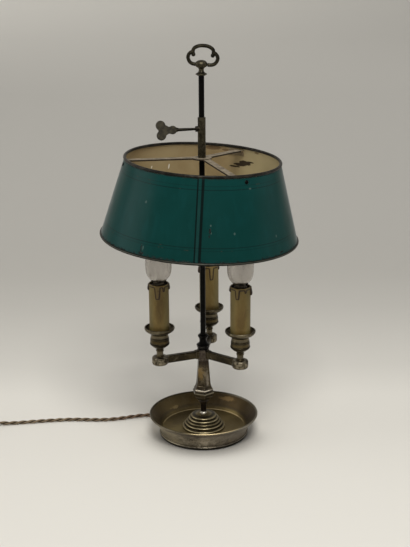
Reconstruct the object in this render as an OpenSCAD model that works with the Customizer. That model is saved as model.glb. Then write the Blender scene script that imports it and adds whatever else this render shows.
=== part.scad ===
// Bouillotte lamp. A dish foot carries a six-sided stem with three candle arms.
// A painted sheet-metal shade slides on the central rod and is held there by a key.
// Millimetres, +Z up, origin on the table under the middle of the foot, front towards -Y.

/* [Dish] */
// Outer radius of the rim bead
rim_r = 76; // [72:0.5:82]
// Height of the middle of the rim bead
rim_h = 29.2; // [27:0.1:33]
// Radius of the rim bead's section
rim_bead = 1.3; // [1.1:0.1:1.6]
// Outer radius of the foot bead
foot_r = 62.4; // [60:0.2:64]
// Radius of the foot bead's section
foot_bead = 2.4; // [2:0.1:2.6]
// Width of the foot ring
foot_ring_w = 4; // [3:0.25:5]
// Height of the floor inside the dish
floor_h = 9; // [8.75:0.25:11]
// Thickness of that floor
floor_t = 1.3; // [1.1:0.1:1.5]
// Radius of the flat part of that floor
floor_r = 57; // [54:0.5:58]
// Radius of the raised middle of that floor, under the mound
platform_r = 22; // [20:0.5:24]
// Height of the raised middle above the floor
platform_h = 4; // [3.5:0.25:5]
// Thickness of the flared wall
wall_t = 1.7; // [1.4:0.1:2.2]

/* [Mound and stem] */
// Radius of the stepped mound
mound_r = 30; // [27:0.5:34]
// Height of the stepped mound
mound_h = 23; // [21:0.5:26]
// Length of the tube that shows between mound and stem
neck_l = 12; // [9:0.5:15]
// Outer diameter of the tube that holds the lamp together
tube_d = 8; // [7.8:0.1:8.4]
// Bore of that tube, for the wires
tube_bore = 6.2; // [6:0.1:6.5]
// Height of the turned collar under the stem
collar_h = 6; // [5:0.5:8]
// Height of the six-sided stem
stem_h = 59; // [55:1:75]
// Radius over the corners at the stem's widest edge
knop_r = 16; // [14:0.1:18]
// Radius over the corners at the top of the stem
stem_top_r = 8; // [7.2:0.1:8.6]
// Direction of one of the stem's flat faces, in degrees from +X
stem_turn = 188.5; // [180:0.5:210]

/* [Hub and arms] */
// Distance between opposite faces of the hub
hub_w = 15; // [14:0.25:17]
// Height of the hub
hub_h = 16; // [15:0.5:19]
// Distance from the rod to the middle of a candle
arm_reach = 63.5; // [58:0.5:72]
// Width of an arm
arm_w = 8; // [7:0.25:8.5]
// Height of an arm
arm_h = 10.5; // [9.5:0.25:11]
// Chamfer along an arm's edges
arm_chamfer = 1.5; // [1:0.1:2.2]
// Diameter of the boss at an arm's end
boss_d = 22; // [20:0.5:25]
// Height of that boss
boss_h = 11.5; // [11:0.25:13]
// Direction of the left arm, in degrees from +X
arm_turn = 202; // [190:1:215]

/* [Candles] */
// Largest diameter of a cup
cup_d = 27; // [25:0.5:30]
// Height of a cup
cup_h = 34.25; // [33:0.25:40]
// Diameter of a cup's neck
cup_neck_d = 9; // [8.5:0.1:10.5]
// Diameter of a drip pan
pan_d = 41; // [38:0.5:44]
// Height of a drip pan
pan_h = 8.5; // [7.5:0.25:10]
// Thickness of a drip pan
pan_t = 1.3; // [1:0.1:1.6]
// Outer diameter of a candle sleeve
sleeve_d = 27; // [26.5:0.25:29]
// Wall of a candle sleeve
sleeve_t = 1.2; // [0.8:0.1:1.5]
// Length of a candle sleeve
sleeve_l = 68.5; // [64:0.5:76]
// Diameter of the threaded tube in each cup
nipple_d = 6; // [5.8:0.1:6.4]
// Diameter of a bulb's screw cap
cap_d = 13.6; // [13:0.1:14]
// Largest diameter of a bulb
bulb_d = 35.6; // [33:0.5:38]
// Height of a bulb's tip above the sleeve
bulb_h = 77; // [72:0.5:80]
// Thickness of a bulb's glass
glass_t = 0.8; // [0.6:0.1:1]
// Diameter of a wire
wire_d = 2.6; // [2.2:0.1:2.7]

/* [Rod and finial] */
// Diameter of the rod
rod_d = 7.4; // [6.8:0.1:7.8]
// Length of the rod above its socket
rod_l = 352.5; // [330:1:370]
// Height of the turned socket that holds the rod
socket_h = 23; // [21:0.5:26]
// Width of the finial's loop, between the middles of its bar
loop_w = 38.4; // [34:0.4:42]
// Thickness of the loop's bar
loop_bar = 4.8; // [4:0.1:5.4]
// Lean of the hand-made loop, clockwise from the front
loop_lean = 4; // [0:0.5:6]

/* [Slider and key] */
// Outer diameter of the tube that slides on the rod
slider_d = 10.4; // [10:0.1:11.2]
// Length of that tube above the shade's spider
slider_l = 53; // [46:0.5:60]
// Height of the key above the spider
key_h = 39; // [34:0.5:42]
// Direction of the key, in degrees from +X
key_turn = 193; // [180:1:220]
// Diameter of the key's threaded end
key_d = 3.4; // [3:0.1:3.8]
// Distance from the rod's middle to the key's far end
key_reach = 60.2; // [54:0.2:66]
// Turn of the key about its own axis
key_roll = 25; // [0:1:90]
// Thickness of the key's flat grip
key_t = 3; // [2.4:0.1:3.6]
// Distance from the rod's socket to the spider, with the shade where it is stored
shade_rise = 244.5; // [240:0.5:250]

/* [Shade] */
// Outer radius of the shade over its top rim
top_r = 104.65; // [98:0.05:110]
// Outer radius of the shade over its bottom rim
bottom_r = 133.4; // [126:0.1:140]
// Height of the shade between the middles of its rims
shade_h = 103.6; // [96:0.2:112]
// Thickness of the sheet
sheet_t = 0.6; // [0.5:0.05:0.8]
// Radius of the top rim's section
top_rim_r = 2; // [1.6:0.05:2.2]
// Radius of the bottom rim's section
bottom_rim_r = 1.75; // [1.5:0.05:2]
// Lean of the shade, lower on the right
shade_lean = 3; // [0:0.1:3]
// Tilt of the shade, lower at the front
shade_tilt = 1; // [0:0.1:1.5]
// Width of the folded seam at the front
seam_w = 6; // [5:0.5:8]
// Width of a spider strip
strip_w = 10; // [8:0.25:12]
// Thickness of a spider strip
strip_t = 2; // [1.5:0.1:2.2]
// Diameter of the plate in the middle of the spider
plate_d = 26; // [22:0.5:30]
// How far a tab reaches down the shade
tab_l = 12; // [10:0.5:16]
// How far a tab reaches along the shade, from the middle of its strip
tab_w = 17; // [14:0.5:22]
// Diameter of a rivet
rivet_d = 3; // [2.5:0.1:3.5]

/* [Hidden] */
$fn = 64;

brass = [0.55, 0.47, 0.31];
silvered = [0.52, 0.48, 0.40];
iron = [0.10, 0.10, 0.10];
bronze = [0.25, 0.22, 0.14];
wax = [0.62, 0.55, 0.36];
green = [0.07, 0.29, 0.27];
cream = [0.62, 0.56, 0.43];
bakelite = [0.20, 0.12, 0.08];
textile = [0.45, 0.30, 0.20];

// Radial play of a shaft, a screw or a tube in its hole
play = 0.05;
// Gap between pieces that pass each other freely
free_gap = 0.3;

// Heights, stacked from the table upwards
under_floor_z = floor_h - floor_t;
platform_z = floor_h + platform_h;
under_platform_z = platform_z - 2;
mound_top_z = floor_h + mound_h;
collar_z = mound_top_z + neck_l;
stem_z = collar_z + collar_h;
hub_z = stem_z + stem_h;
arm_z = hub_z + hub_h / 2 + 1;
boss_top_z = arm_z + boss_h / 2;
boss_bottom_z = arm_z - boss_h / 2;
socket_z = hub_z + hub_h;
rod_foot_z = socket_z + 4;
socket_top_z = socket_z + socket_h;
rod_top_z = socket_top_z + rod_l;
cup_z = boss_top_z;
pan_z = cup_z + cup_h;
pan_floor_z = pan_z + pan_t;
sleeve_top_z = pan_floor_z + sleeve_l;
spider_z = socket_top_z + shade_rise;
slider_top_z = spider_z + strip_t / 2 + slider_l;
key_z = spider_z + key_h;

// The three arms
LEFT = 0;
RIGHT = 1;
BACK = 2;
arm_turns = [arm_turn, arm_turn + 120, arm_turn - 120];

// Tube, washer and nut under the dish
tube_r = tube_d / 2;
tube_hole_r = tube_r + play;
tube_in_hub = 7;
washer_r = 12;
washer_t = 1.6;
nut_w = 13;
nut_h = 3;
tube_foot_z = under_platform_z - washer_t - nut_h;

// Wires: where each lies in the tube, and how low it passes under it
wire_r = wire_d / 2;
wire_channel_r = wire_r + 0.4;
wire_offset = wire_d / sqrt(3) + 0.1;
wire_low_z = [4.7, 2, 4.7];
block_turn = 145;
block_near_r = 30;
block_l = 14;
block_w = 20;
block_h = 7.2;
wire_spread = 6;

// Cup fixing
nipple_r = nipple_d / 2;
nipple_hole_r = nipple_r + play;
nipple_bore_r = wire_r + 0.35;
cup_nut_w = 10;
cup_nut_h = 3;
cup_nut_recess_r = 6.6;
nipple_foot_z = boss_bottom_z + 0.4;
nipple_top_z = pan_floor_z + 6;

// Lampholder and bulb
holder_r = sleeve_d / 2 - sleeve_t - 0.4;
holder_top_z = sleeve_top_z - 2.5;
holder_well = 23;
holder_bore_r = cap_d / 2 + 0.3;
holder_foot_r = 7.5;
holder_foot_h = 9;
holder_stalk_r = 4.8;
cap_foot_z = holder_top_z - holder_well + 1.5;
glass_foot_z = sleeve_top_z + 1;
bulb_tip_z = sleeve_top_z + bulb_h;

// Rod, socket and finial
rod_r = rod_d / 2;
rod_hole_r = rod_r + play;
rod_pin_r = 2;
finial_foot_z = rod_top_z - 0.2;
rod_step_z = finial_foot_z + 2.8;
rod_pin_l = 9;
loop_z = finial_foot_z + 14.2;
loop_shift = 1.6;

// Slider
spigot_r = rod_hole_r + 0.75;
spigot_l = strip_t + 1.9;
ring_h = 1.7;
ring_r = spigot_r + 1.4;
key_boss_r = 3.8;
key_boss_l = 2.9;
key_r = key_d / 2;
key_hole_r = key_r + play;
key_lobe_r = 6.2;
key_lobe_apart = 13.4;
key_bulge_r = 5.4;

// Shade, in its own leaning frame, with z = 0 in the middle of the top rim
rim_drop = 1.25;
shade_shift = 1.3;
top_wall_r = top_r - top_rim_r;
bottom_wall_r = bottom_r - bottom_rim_r;
wall_angle = atan((bottom_wall_r - top_wall_r) / shade_h);
strip_turns = [59.5, 185, 296];
strip_start_r = 8;
tab_gap = 0.12;
tab_offset = sheet_t / 2 + tab_gap;
tab_t = 1.6;
tab_top = 3.3;
seam_t = 0.5;
seam_turn = -91.3;
rivet_drop = 7.6;
rivet_aside = 5.5;
rivet_head_r = 2.7;
rivet_head_h = 1.1;

// Mains cord: diameter, sides of its section, and its route, in points chosen by hand
cord_d = 6;
cord_r = cord_d / 2;
cord_sides = 10;
cord_exit_turn = 145;
cord_exit_z = 3.8;
bush_r = 3.7;
bush_l = 8;
cord_exit_r = foot_r + 2.6;
lead_route = [
    [-36.3, 25.4, 3.8], [-44, 30.8, 3.8], [-53.2, 37.3, 3.8], [-62, 43, 3.6], [-72, 48, 3.2],
    [-84, 50, 3], [-97, 47.5, 3], [-109, 43.5, 3], [-121, 39.5, 3], [-134, 36.5, 3],
    [-148, 35, 3], [-163, 35.3, 3], [-178, 36.2, 3], [-193, 36.4, 3], [-208, 35.3, 3],
    [-223, 33.4, 3], [-238, 31.2, 3], [-253, 28.8, 3], [-268, 26.4, 3], [-283, 24.2, 3.4],
    [-297, 22.6, 5.3], [-306, 22, 7.2], [-314, 22, 7.5]
];
link_route = [[-374, 22, 7.5], [-384, 22, 6.8], [-396, 22, 5.4], [-408, 22, 4.6]];
tail_route = [[-460, -28, 9.4], [-460, -34, 8], [-460, -39, 7.5], [-460, -43.9, 7.5]];

// Coil that holds the rest of the cord, with its tie
coil_x = -419;
coil_y = -19;
coil_mid_r = 35;
coil_w = 3 * cord_d;
coil_h = 2 * cord_d;
tie_t = 0.8;
tie_w = 7;
tie_turn = 40;

// Plug, lying on the table past the coil
plug_x = -460;
plug_y = -44;
plug_z = 7.5;
plug_boot_l = 20;
plug_l = 30;
plug_w = 28;
plug_h = 14.6;
plug_corner = 5;
pin_r = 2;
pin_l = 19;
pin_apart = 19;

// Rocker switch in the cord
switch_x = -344;
switch_y = 22;
switch_l = 60;
switch_w = 22;
switch_h = 15;
switch_corner = 7;
switch_wall = 1.8;
switch_split_z = 7.5;
rocker_l = 14;
rocker_w = 8.4;
rocker_low = 3.2;
rocker_high = 4.2;
rocker_dish = 1;
rocker_tilt = 6;
rocker_z = 11.6;
rocker_pin_r = 1;
rocker_pin_l = 14;
window_play = 0.7;

// Points of a circular arc
function arc(x, y, r, from, to, steps = 8) =
    [for (i = [0:steps]) let (a = from + (to - from) * i / steps) [x + r * cos(a), y + r * sin(a)]];

// Points of a curve from a to c that leaves a towards b and reaches c from b
function bend(a, b, c, steps = 8) =
    [for (i = [0:steps]) let (t = i / steps) (1 - t) ^ 2 * a + 2 * t * (1 - t) * b + t ^ 2 * c];

// Two runs of points that share the point where they meet
function joined(first, second) = concat(first, [for (i = [1:len(second) - 1]) second[i]]);

function reversed(list) = [for (i = [len(list) - 1:-1:0]) list[i]];
function mirrored(list) = [for (p = reversed(list)) [-p[0], p[1]]];
function round_corners(l, w, r) = concat(
    arc(l / 2 - r, w / 2 - r, r, 0, 90), arc(-l / 2 + r, w / 2 - r, r, 90, 180),
    arc(-l / 2 + r, -w / 2 + r, r, 180, 270), arc(l / 2 - r, -w / 2 + r, r, 270, 360)
);

// Sweep of a round section along a route. Each ring stands square to the route.
function unit(v) = v / norm(v);
function heading(path, i) = unit(path[min(i + 1, len(path) - 1)] - path[max(i - 1, 0)]);
function ring_at(path, i, r, sides, side_axis) = let (
        ahead = heading(path, i),
        across = unit(cross(ahead, side_axis)),
        up = cross(across, ahead)
    )
    [for (k = [0:sides - 1]) let (a = 360 * k / sides) path[i] + r * (cos(a) * across + sin(a) * up)];

module sweep(path, r, sides, side_axis = [0, 0, 1]) {
    rings = len(path);
    points = [for (i = [0:rings - 1]) each ring_at(path, i, r, sides, side_axis)];
    walls = [
        for (i = [0:rings - 2]) for (k = [0:sides - 1]) let (n = (k + 1) % sides)
        each [
            [i * sides + k, (i + 1) * sides + n, (i + 1) * sides + k],
            [i * sides + k, i * sides + n, (i + 1) * sides + n]
        ]
    ];
    start_cap = [for (k = [sides - 1:-1:0]) k];
    end_cap = [for (k = [0:sides - 1]) (rings - 1) * sides + k];
    polyhedron(points, concat(walls, [start_cap, end_cap]));
}

// A turned piece from its half outline of [radius, height] points
module turned(outline) rotate_extrude() polygon(outline);

// A hexagonal column from its half outline
module six_sided(outline) {
    reach = 2 * knop_r;
    rotate([0, 0, stem_turn])
        intersection_for (turn = [0, 60, 120])
            rotate([90, 0, turn])
                linear_extrude(reach, center = true)
                    polygon(concat(outline, mirrored(outline)));
}

module at_candle(arm) rotate([0, 0, arm_turns[arm]]) translate([arm_reach, 0, 0]) children();

module hex_nut(width, height, hole_r) {
    corner_r = width / sqrt(3);
    difference() {
        intersection() {
            rotate([0, 0, arm_turn]) cylinder(r = corner_r, h = height, $fn = 6);
            turned([
                [0, 0], [corner_r - 0.6, 0], [corner_r + 0.2, 0.7],
                [corner_r + 0.2, height - 0.7], [corner_r - 0.6, height], [0, height]
            ]);
        }
        translate([0, 0, -1]) cylinder(r = hole_r, h = height + 2);
    }
}

// ---- Dish foot ----

module base_dish() {
    bead_x = foot_r - foot_bead;
    bead_top = 2 * foot_bead;
    rim_x = rim_r - rim_bead;
    ring_x = foot_r - foot_ring_w;
    ring_fillet = 1.5;
    rim_curl_start = -50;
    rim_curl_end = 200;
    outer_start = [bead_x + 1, bead_top + ring_fillet];
    outer_end = [rim_x + 0.5, rim_h - 1];
    outer_pull = [outer_start[0] + 2.5, (outer_start[1] + outer_end[1]) / 2];
    inner_start = [floor_r + 2, floor_h + 2];
    inner_end = [outer_end[0] - wall_t, rim_h - 0.6];
    inner_pull = [outer_pull[0] - wall_t + 0.6, outer_pull[1] + 0.4];
    outline = concat(
        [[0, under_platform_z], [platform_r - 1.8, under_platform_z]],
        [[platform_r - 1.2, under_floor_z]],
        [[ring_x - ring_fillet, under_floor_z], [ring_x, under_floor_z - ring_fillet], [ring_x, 0]],
        arc(bead_x, foot_bead, foot_bead, -90, 75),
        [[bead_x + 0.1, bead_top + 0.4]],
        bend(outer_start, outer_pull, outer_end, 12),
        arc(rim_x, rim_h, rim_bead, rim_curl_start, rim_curl_end, 12),
        reversed(bend(inner_start, inner_pull, inner_end, 12)),
        reversed(bend([floor_r, floor_h], [floor_r + 1.6, floor_h + 0.1], inner_start, 4)),
        [[platform_r + 0.6, floor_h], [platform_r, platform_z], [0, platform_z]]
    );
    color(silvered)
        difference() {
            turned(outline);
            translate([0, 0, under_platform_z - 1]) cylinder(r = tube_hole_r, h = 4);
            rotate([0, 0, cord_exit_turn])
                translate([ring_x - 3, 0, cord_exit_z]) {
                    rotate([0, 90, 0]) cylinder(r = bush_r + play, h = 12);
                    translate([0, -bush_r - play, -cord_exit_z - 1])
                        cube([12, 2 * (bush_r + play), cord_exit_z + 1]);
                }
        }
}

module base_mound() {
    bead = 1.3;
    rings = [
        [mound_r, bead], [mound_r - 3.4, 5.5], [mound_r - 6, 9.2],
        [mound_r - 8.7, 12.8], [mound_r - 12, 16.4]
    ];
    last = rings[len(rings) - 1];
    outline = concat(
        [[0, 0], [mound_r - bead, 0]],
        arc(mound_r - bead, bead, bead, -70, 90, 6),
        [for (i = [1:len(rings) - 1]) each concat(
            [[rings[i][0] - 0.9, rings[i - 1][1] + bead + 0.4]],
            arc(rings[i][0] - bead, rings[i][1], bead, -50, 90, 6)
        )],
        [[last[0] - 2.1, last[1] + bead + 0.2]],
        bend(
            [last[0] - 2.6, last[1] + bead + 0.4], [tube_r + 4.5, mound_h - 3.8],
            [tube_r + 0.9, mound_h], 6
        ),
        [[0, mound_h]]
    );
    color(brass)
        translate([0, 0, floor_h])
            difference() {
                turned(outline);
                translate([0, 0, -1]) cylinder(r = tube_hole_r, h = mound_h + 2);
                translate([0, 0, -1]) cylinder(r = platform_r + 0.9, h = platform_h + free_gap + 1);
            }
}

module centre_tube() {
    tube_l = hub_z + tube_in_hub - tube_foot_z;
    color(brass)
        translate([0, 0, tube_foot_z])
            difference() {
                cylinder(r = tube_r, h = tube_l);
                translate([0, 0, -1]) cylinder(d = tube_bore, h = tube_l + 2);
            }
}

module base_washer() {
    color("silver")
        translate([0, 0, under_platform_z - washer_t])
            difference() {
                cylinder(r = washer_r, h = washer_t);
                translate([0, 0, -1]) cylinder(r = tube_hole_r, h = washer_t + 2);
            }
}

module base_nut() {
    color("silver") translate([0, 0, tube_foot_z]) hex_nut(nut_w, nut_h, tube_hole_r);
}

module cord_bush() {
    color(bakelite)
        rotate([0, 0, cord_exit_turn])
            translate([cord_exit_r - bush_l, 0, cord_exit_z])
                rotate([0, 90, 0])
                    difference() {
                        cylinder(r = bush_r, h = bush_l);
                        translate([0, 0, -1]) cylinder(r = cord_r + 0.1, h = bush_l + 2);
                    }
}

module terminal_block() {
    screw_r = 1.8;
    color("ivory")
        rotate([0, 0, block_turn])
            translate([block_near_r, -block_w / 2, under_floor_z - block_h])
                difference() {
                    cube([block_l, block_w, block_h]);
                    for (x = [3.5, block_l - 3.5]) for (y = [5, block_w - 5])
                        translate([x, y, -1]) cylinder(r = screw_r, h = 4);
                }
}

// ---- Stem, hub and arms ----

module stem_collar() {
    outline = concat(
        [[0, 0], [tube_r + 0.7, 0]],
        bend([tube_r + 0.8, 0.8], [tube_r + 1.2, 2.8], [tube_r + 2.9, 3.8], 5),
        [[tube_r + 3.1, 4.5], [tube_r + 2.8, 5.3], [tube_r + 2.2, collar_h], [0, collar_h]]
    );
    color(silvered)
        translate([0, 0, collar_z])
            difference() {
                turned(outline);
                translate([0, 0, -1]) cylinder(r = tube_hole_r, h = collar_h + 2);
            }
}

module stem() {
    flat = cos(30);
    shaft_r = stem_top_r + 2.4;
    corner_outline = concat(
        [[0, 0], [knop_r - 8, 0]],
        bend([knop_r - 7, 1], [knop_r - 3, 2.4], [knop_r - 2, 6]),
        [[knop_r - 1.6, 8.6], [knop_r, 11], [knop_r - 0.1, 12.2], [knop_r - 1.2, 14]],
        [[knop_r - 2.4, 14.8], [knop_r - 1.5, 15.7], [knop_r - 1.6, 16.3]],
        bend([knop_r - 2, 16.8], [shaft_r + 0.8, 19.4], [shaft_r, 28], 12),
        [[stem_top_r, stem_h], [0, stem_h]]
    );
    color(silvered)
        translate([0, 0, stem_z])
            difference() {
                six_sided([for (p = corner_outline) [p[0] * flat, p[1]]]);
                translate([0, 0, -1]) cylinder(r = tube_hole_r, h = stem_h + 2);
            }
}

module arm_hub() {
    corner_r = hub_w / sqrt(3);
    color(silvered)
        difference() {
            intersection() {
                translate([0, 0, hub_z])
                    rotate([0, 0, arm_turn + 30]) cylinder(r = corner_r, h = hub_h, $fn = 6);
                translate([0, 0, hub_z])
                    turned([
                        [0, 0], [corner_r - 1.6, 0], [corner_r + 0.2, 1.6],
                        [corner_r + 0.2, hub_h - 1.4], [corner_r - 1.4, hub_h], [0, hub_h]
                    ]);
            }
            translate([0, 0, hub_z - 1]) cylinder(r = tube_hole_r, h = tube_in_hub + 1);
            translate([0, 0, hub_z]) cylinder(d = tube_bore, h = arm_z + 2.5 - hub_z);
            translate([0, 0, socket_z - 3.5]) cylinder(r = rod_pin_r + 1 + play, h = 5);
            for (turn = arm_turns)
                rotate([0, 0, turn]) translate([0, 0, arm_z])
                    rotate([0, 90, 0]) cylinder(r = wire_channel_r, h = hub_w);
        }
}

// Section of an arm, flat-sided with chamfered edges
module arm_section(w, h, chamfer) {
    polygon([
        [-h / 2, -w / 2 + chamfer], [-h / 2 + chamfer, -w / 2],
        [h / 2 - chamfer, -w / 2], [h / 2, -w / 2 + chamfer],
        [h / 2, w / 2 - chamfer], [h / 2 - chamfer, w / 2],
        [-h / 2 + chamfer, w / 2], [-h / 2, w / 2 - chamfer]
    ]);
}

module arm(which) {
    root_l = 4;
    boss_round = 2.6;
    round_turn = 80;
    boss_r = boss_d / 2;
    boss_outline = concat(
        [[0, 0], [boss_r - boss_round - 1, 0]],
        arc(boss_r - boss_round, boss_round, boss_round, -round_turn, 0, 5),
        arc(boss_r - boss_round, boss_h - boss_round, boss_round, 0, round_turn, 5),
        [[cup_neck_d / 2 + 3, boss_h], [0, boss_h]]
    );
    color(silvered)
        rotate([0, 0, arm_turns[which]])
            difference() {
                union() {
                    translate([hub_w / 2, 0, arm_z])
                        rotate([0, 90, 0])
                            linear_extrude(arm_reach - hub_w / 2 - cup_neck_d)
                                arm_section(arm_w, arm_h, arm_chamfer);
                    translate([hub_w / 2, 0, arm_z])
                        rotate([0, 90, 0])
                            linear_extrude(root_l) arm_section(arm_w + 0.5, arm_h + 1.6, arm_chamfer);
                    translate([arm_reach, 0, boss_bottom_z]) turned(boss_outline);
                }
                translate([0, 0, arm_z])
                    rotate([0, 90, 0]) cylinder(r = wire_channel_r, h = arm_reach);
                translate([arm_reach, 0, boss_bottom_z - 1])
                    cylinder(r = nipple_hole_r, h = boss_h + 2);
                translate([arm_reach, 0, boss_bottom_z - 1])
                    cylinder(r = cup_nut_recess_r, h = cup_nut_h + 1.4);
            }
}

// ---- Candles ----

module cup(which) {
    cup_r = cup_d / 2;
    neck_r = cup_neck_d / 2;
    outline = concat(
        [[0, 0], [neck_r + 1.5, 0], [neck_r + 1.5, 0.8]],
        bend([neck_r + 1, 1.2], [neck_r, 1.8], [neck_r, 3.6], 4),
        [[neck_r, 7.4], [neck_r + 0.8, 8], [neck_r + 0.9, 9], [neck_r + 0.4, 9.6]],
        bend([neck_r + 0.6, 12], [cup_r - 4, 14], [cup_r - 0.9, 17.4], 8),
        arc(cup_r - 1.3, 19.2, 1.3, -50, 60, 6),
        [[cup_r - 0.9, 21], [cup_r - 0.5, 21.4], [cup_r - 0.7, 25.6]],
        [[cup_r - 1.3, 26], [cup_r - 1.3, 26.6], [cup_r - 0.9, 27]],
        bend([cup_r - 1, 27.4], [cup_r - 2.2, 31], [cup_r - 1.8, cup_h - 1.6], 5),
        [[cup_r - 2.6, cup_h], [0, cup_h]]
    );
    color(silvered)
        at_candle(which)
            translate([0, 0, cup_z])
                difference() {
                    turned(outline);
                    translate([0, 0, -1]) cylinder(r = nipple_hole_r, h = cup_h + 2);
                }
}

module drip_pan(which) {
    pan_r = pan_d / 2;
    lip = 1;
    lip_curl = 120;
    seat_r = cup_d / 2 - 1;
    flat_r = sleeve_d / 2 + free_gap;
    outline = concat(
        [[0, 0], [seat_r, 0]],
        bend([seat_r + 0.6, 0.4], [pan_r - 1.4, 2], [pan_r, pan_h - 2.5], 8),
        arc(pan_r - lip, pan_h - lip, lip, 0, lip_curl, 6),
        reversed(bend([flat_r, pan_t], [pan_r - 2.6, pan_t + 1.3], [pan_r - 1.6, pan_h - 2.1], 8)),
        [[0, pan_t]]
    );
    color(silvered)
        at_candle(which)
            translate([0, 0, pan_z])
                difference() {
                    turned(outline);
                    translate([0, 0, -1]) cylinder(r = nipple_hole_r, h = pan_t + 2);
                }
}

module cup_nipple(which) {
    nipple_l = nipple_top_z - nipple_foot_z;
    color("silver")
        at_candle(which)
            difference() {
                translate([0, 0, nipple_foot_z]) cylinder(r = nipple_r, h = nipple_l);
                translate([0, 0, nipple_foot_z - 1]) cylinder(r = nipple_bore_r, h = nipple_l + 2);
                translate([-nipple_d, 0, arm_z])
                    rotate([0, 90, 0]) cylinder(r = nipple_bore_r, h = nipple_d);
            }
}

module cup_nuts() {
    for (which = [LEFT, RIGHT, BACK])
        color("silver")
            at_candle(which)
                translate([0, 0, boss_bottom_z + 0.4]) hex_nut(cup_nut_w, cup_nut_h, nipple_hole_r);
}

module lampholder(which) {
    holder_h = holder_top_z - pan_floor_z;
    cup_foot = holder_h - holder_well - 5;
    outline = [
        [0, 0], [holder_foot_r, 0], [holder_foot_r, holder_foot_h], [holder_stalk_r, holder_foot_h + 3],
        [holder_stalk_r, cup_foot - 4], [holder_r - 1, cup_foot], [holder_r, cup_foot + 2],
        [holder_r, holder_h], [0, holder_h]
    ];
    color(bakelite)
        at_candle(which)
            translate([0, 0, pan_floor_z])
                difference() {
                    turned(outline);
                    translate([0, 0, -1]) cylinder(r = nipple_hole_r, h = nipple_top_z - pan_floor_z + 1.5);
                    cylinder(r = wire_r + 0.3, h = holder_h - holder_well - 1.5);
                    translate([0, 0, holder_h - holder_well])
                        cylinder(r = holder_bore_r, h = holder_well + 1);
                }
}

module candle_sleeve(which) {
    sleeve_r = sleeve_d / 2;
    edge = 0.5;
    outline = [
        [sleeve_r - sleeve_t, 0], [sleeve_r, 0], [sleeve_r, sleeve_l - edge],
        [sleeve_r - edge / 2, sleeve_l], [sleeve_r - sleeve_t, sleeve_l]
    ];
    color(wax) at_candle(which) translate([0, 0, pan_floor_z]) turned(outline);
}

module bulb_cap(which) {
    cap_r = cap_d / 2;
    skirt_r = 8.9;
    cap_h = glass_foot_z - cap_foot_z;
    groove = 0.5;
    pitch = 2.8;
    turns = 5;
    thread = [
        for (i = [0:2 * turns - 1]) [cap_r - (i % 2) * groove, 4 + i * pitch / 2]
    ];
    color(brass)
        at_candle(which)
            translate([0, 0, cap_foot_z])
                turned(concat(
                    [[0, 0], [2.6, 0], [3.2, 1], [cap_r - 0.8, 2.8]],
                    thread,
                    [[cap_r - 0.4, cap_h - 5.2], [cap_r, cap_h - 3.4], [skirt_r - 0.4, cap_h - 2]],
                    [[skirt_r, cap_h], [0, cap_h]]
                ));
}

// Half outline of a candle bulb, from its neck up to its tip
function bulb_curve(r, neck_r, h, inset) = concat(
    bend([neck_r, 0], [neck_r + 0.4, 2.6], [r * 0.72, 6.6], 5),
    bend([r * 0.8, 8.4], [r, 13], [r, 25], 8),
    bend([r, 27], [r * 0.99, 41], [r * 0.5, h * 0.78], 8),
    bend([r * 0.45, h * 0.8], [r * 0.16, h * 0.93], [inset, h], 6)
);

module bulb_glass(which) {
    height = bulb_tip_z - glass_foot_z;
    neck_r = 8.7;
    outer = bulb_curve(bulb_d / 2, neck_r, height, 0);
    inner = bulb_curve(bulb_d / 2 - glass_t, neck_r - glass_t, height - 1.5 * glass_t, 0);
    color([0.85, 0.88, 0.86, 0.4])
        at_candle(which) translate([0, 0, glass_foot_z]) turned(concat(outer, reversed(inner)));
}

module filaments() {
    mount_h = 14;
    post_h = 14;
    post_r = 0.3;
    spread = 5;
    for (which = [LEFT, RIGHT, BACK])
        color("lightgray")
            at_candle(which)
                translate([0, 0, glass_foot_z]) {
                    cylinder(r1 = 3.6, r2 = 1.3, h = mount_h);
                    for (side = [-1, 1])
                        translate([side * 1, 0, mount_h - 1])
                            rotate([0, side * atan(spread / post_h), 0]) cylinder(r = post_r, h = post_h);
                    translate([0, 0, mount_h + post_h - 5])
                        rotate([90, 0, 0])
                            intersection() {
                                rotate_extrude() translate([spread + 1.2, 0]) circle(r = post_r);
                                translate([-10, 0, -5]) cube([20, 10, 10]);
                            }
                }
}

// A wire runs from the terminal block to the tube, up it, and along the arm to its lampholder
module wire(which) {
    turn = arm_turns[which];
    out = [cos(turn), sin(turn), 0];
    aside = [-sin(turn), cos(turn), 0];
    up = [0, 0, 1];
    spread = wire_spread * [1, 0, -1][which];
    start = [
        block_near_r * cos(block_turn) - spread * sin(block_turn),
        block_near_r * sin(block_turn) + spread * cos(block_turn),
        wire_low_z[which]
    ];
    foot = wire_offset * out + wire_low_z[which] * up;
    elbow = wire_offset * out + arm_z * up;
    end = arm_reach * out + arm_z * up;
    inwards = unit(start - foot);
    corner = 1.6;
    route = concat(
        [start],
        bend(foot + corner * inwards, foot, foot + corner * up, 3),
        bend(elbow - corner * up, elbow, elbow + corner * out, 3),
        bend(end - corner * out, end, end + corner * up, 3),
        [arm_reach * out + (nipple_top_z + 1) * up]
    );
    color("saddlebrown") sweep(route, wire_r, 8, aside);
}

// ---- Rod and finial ----

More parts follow.
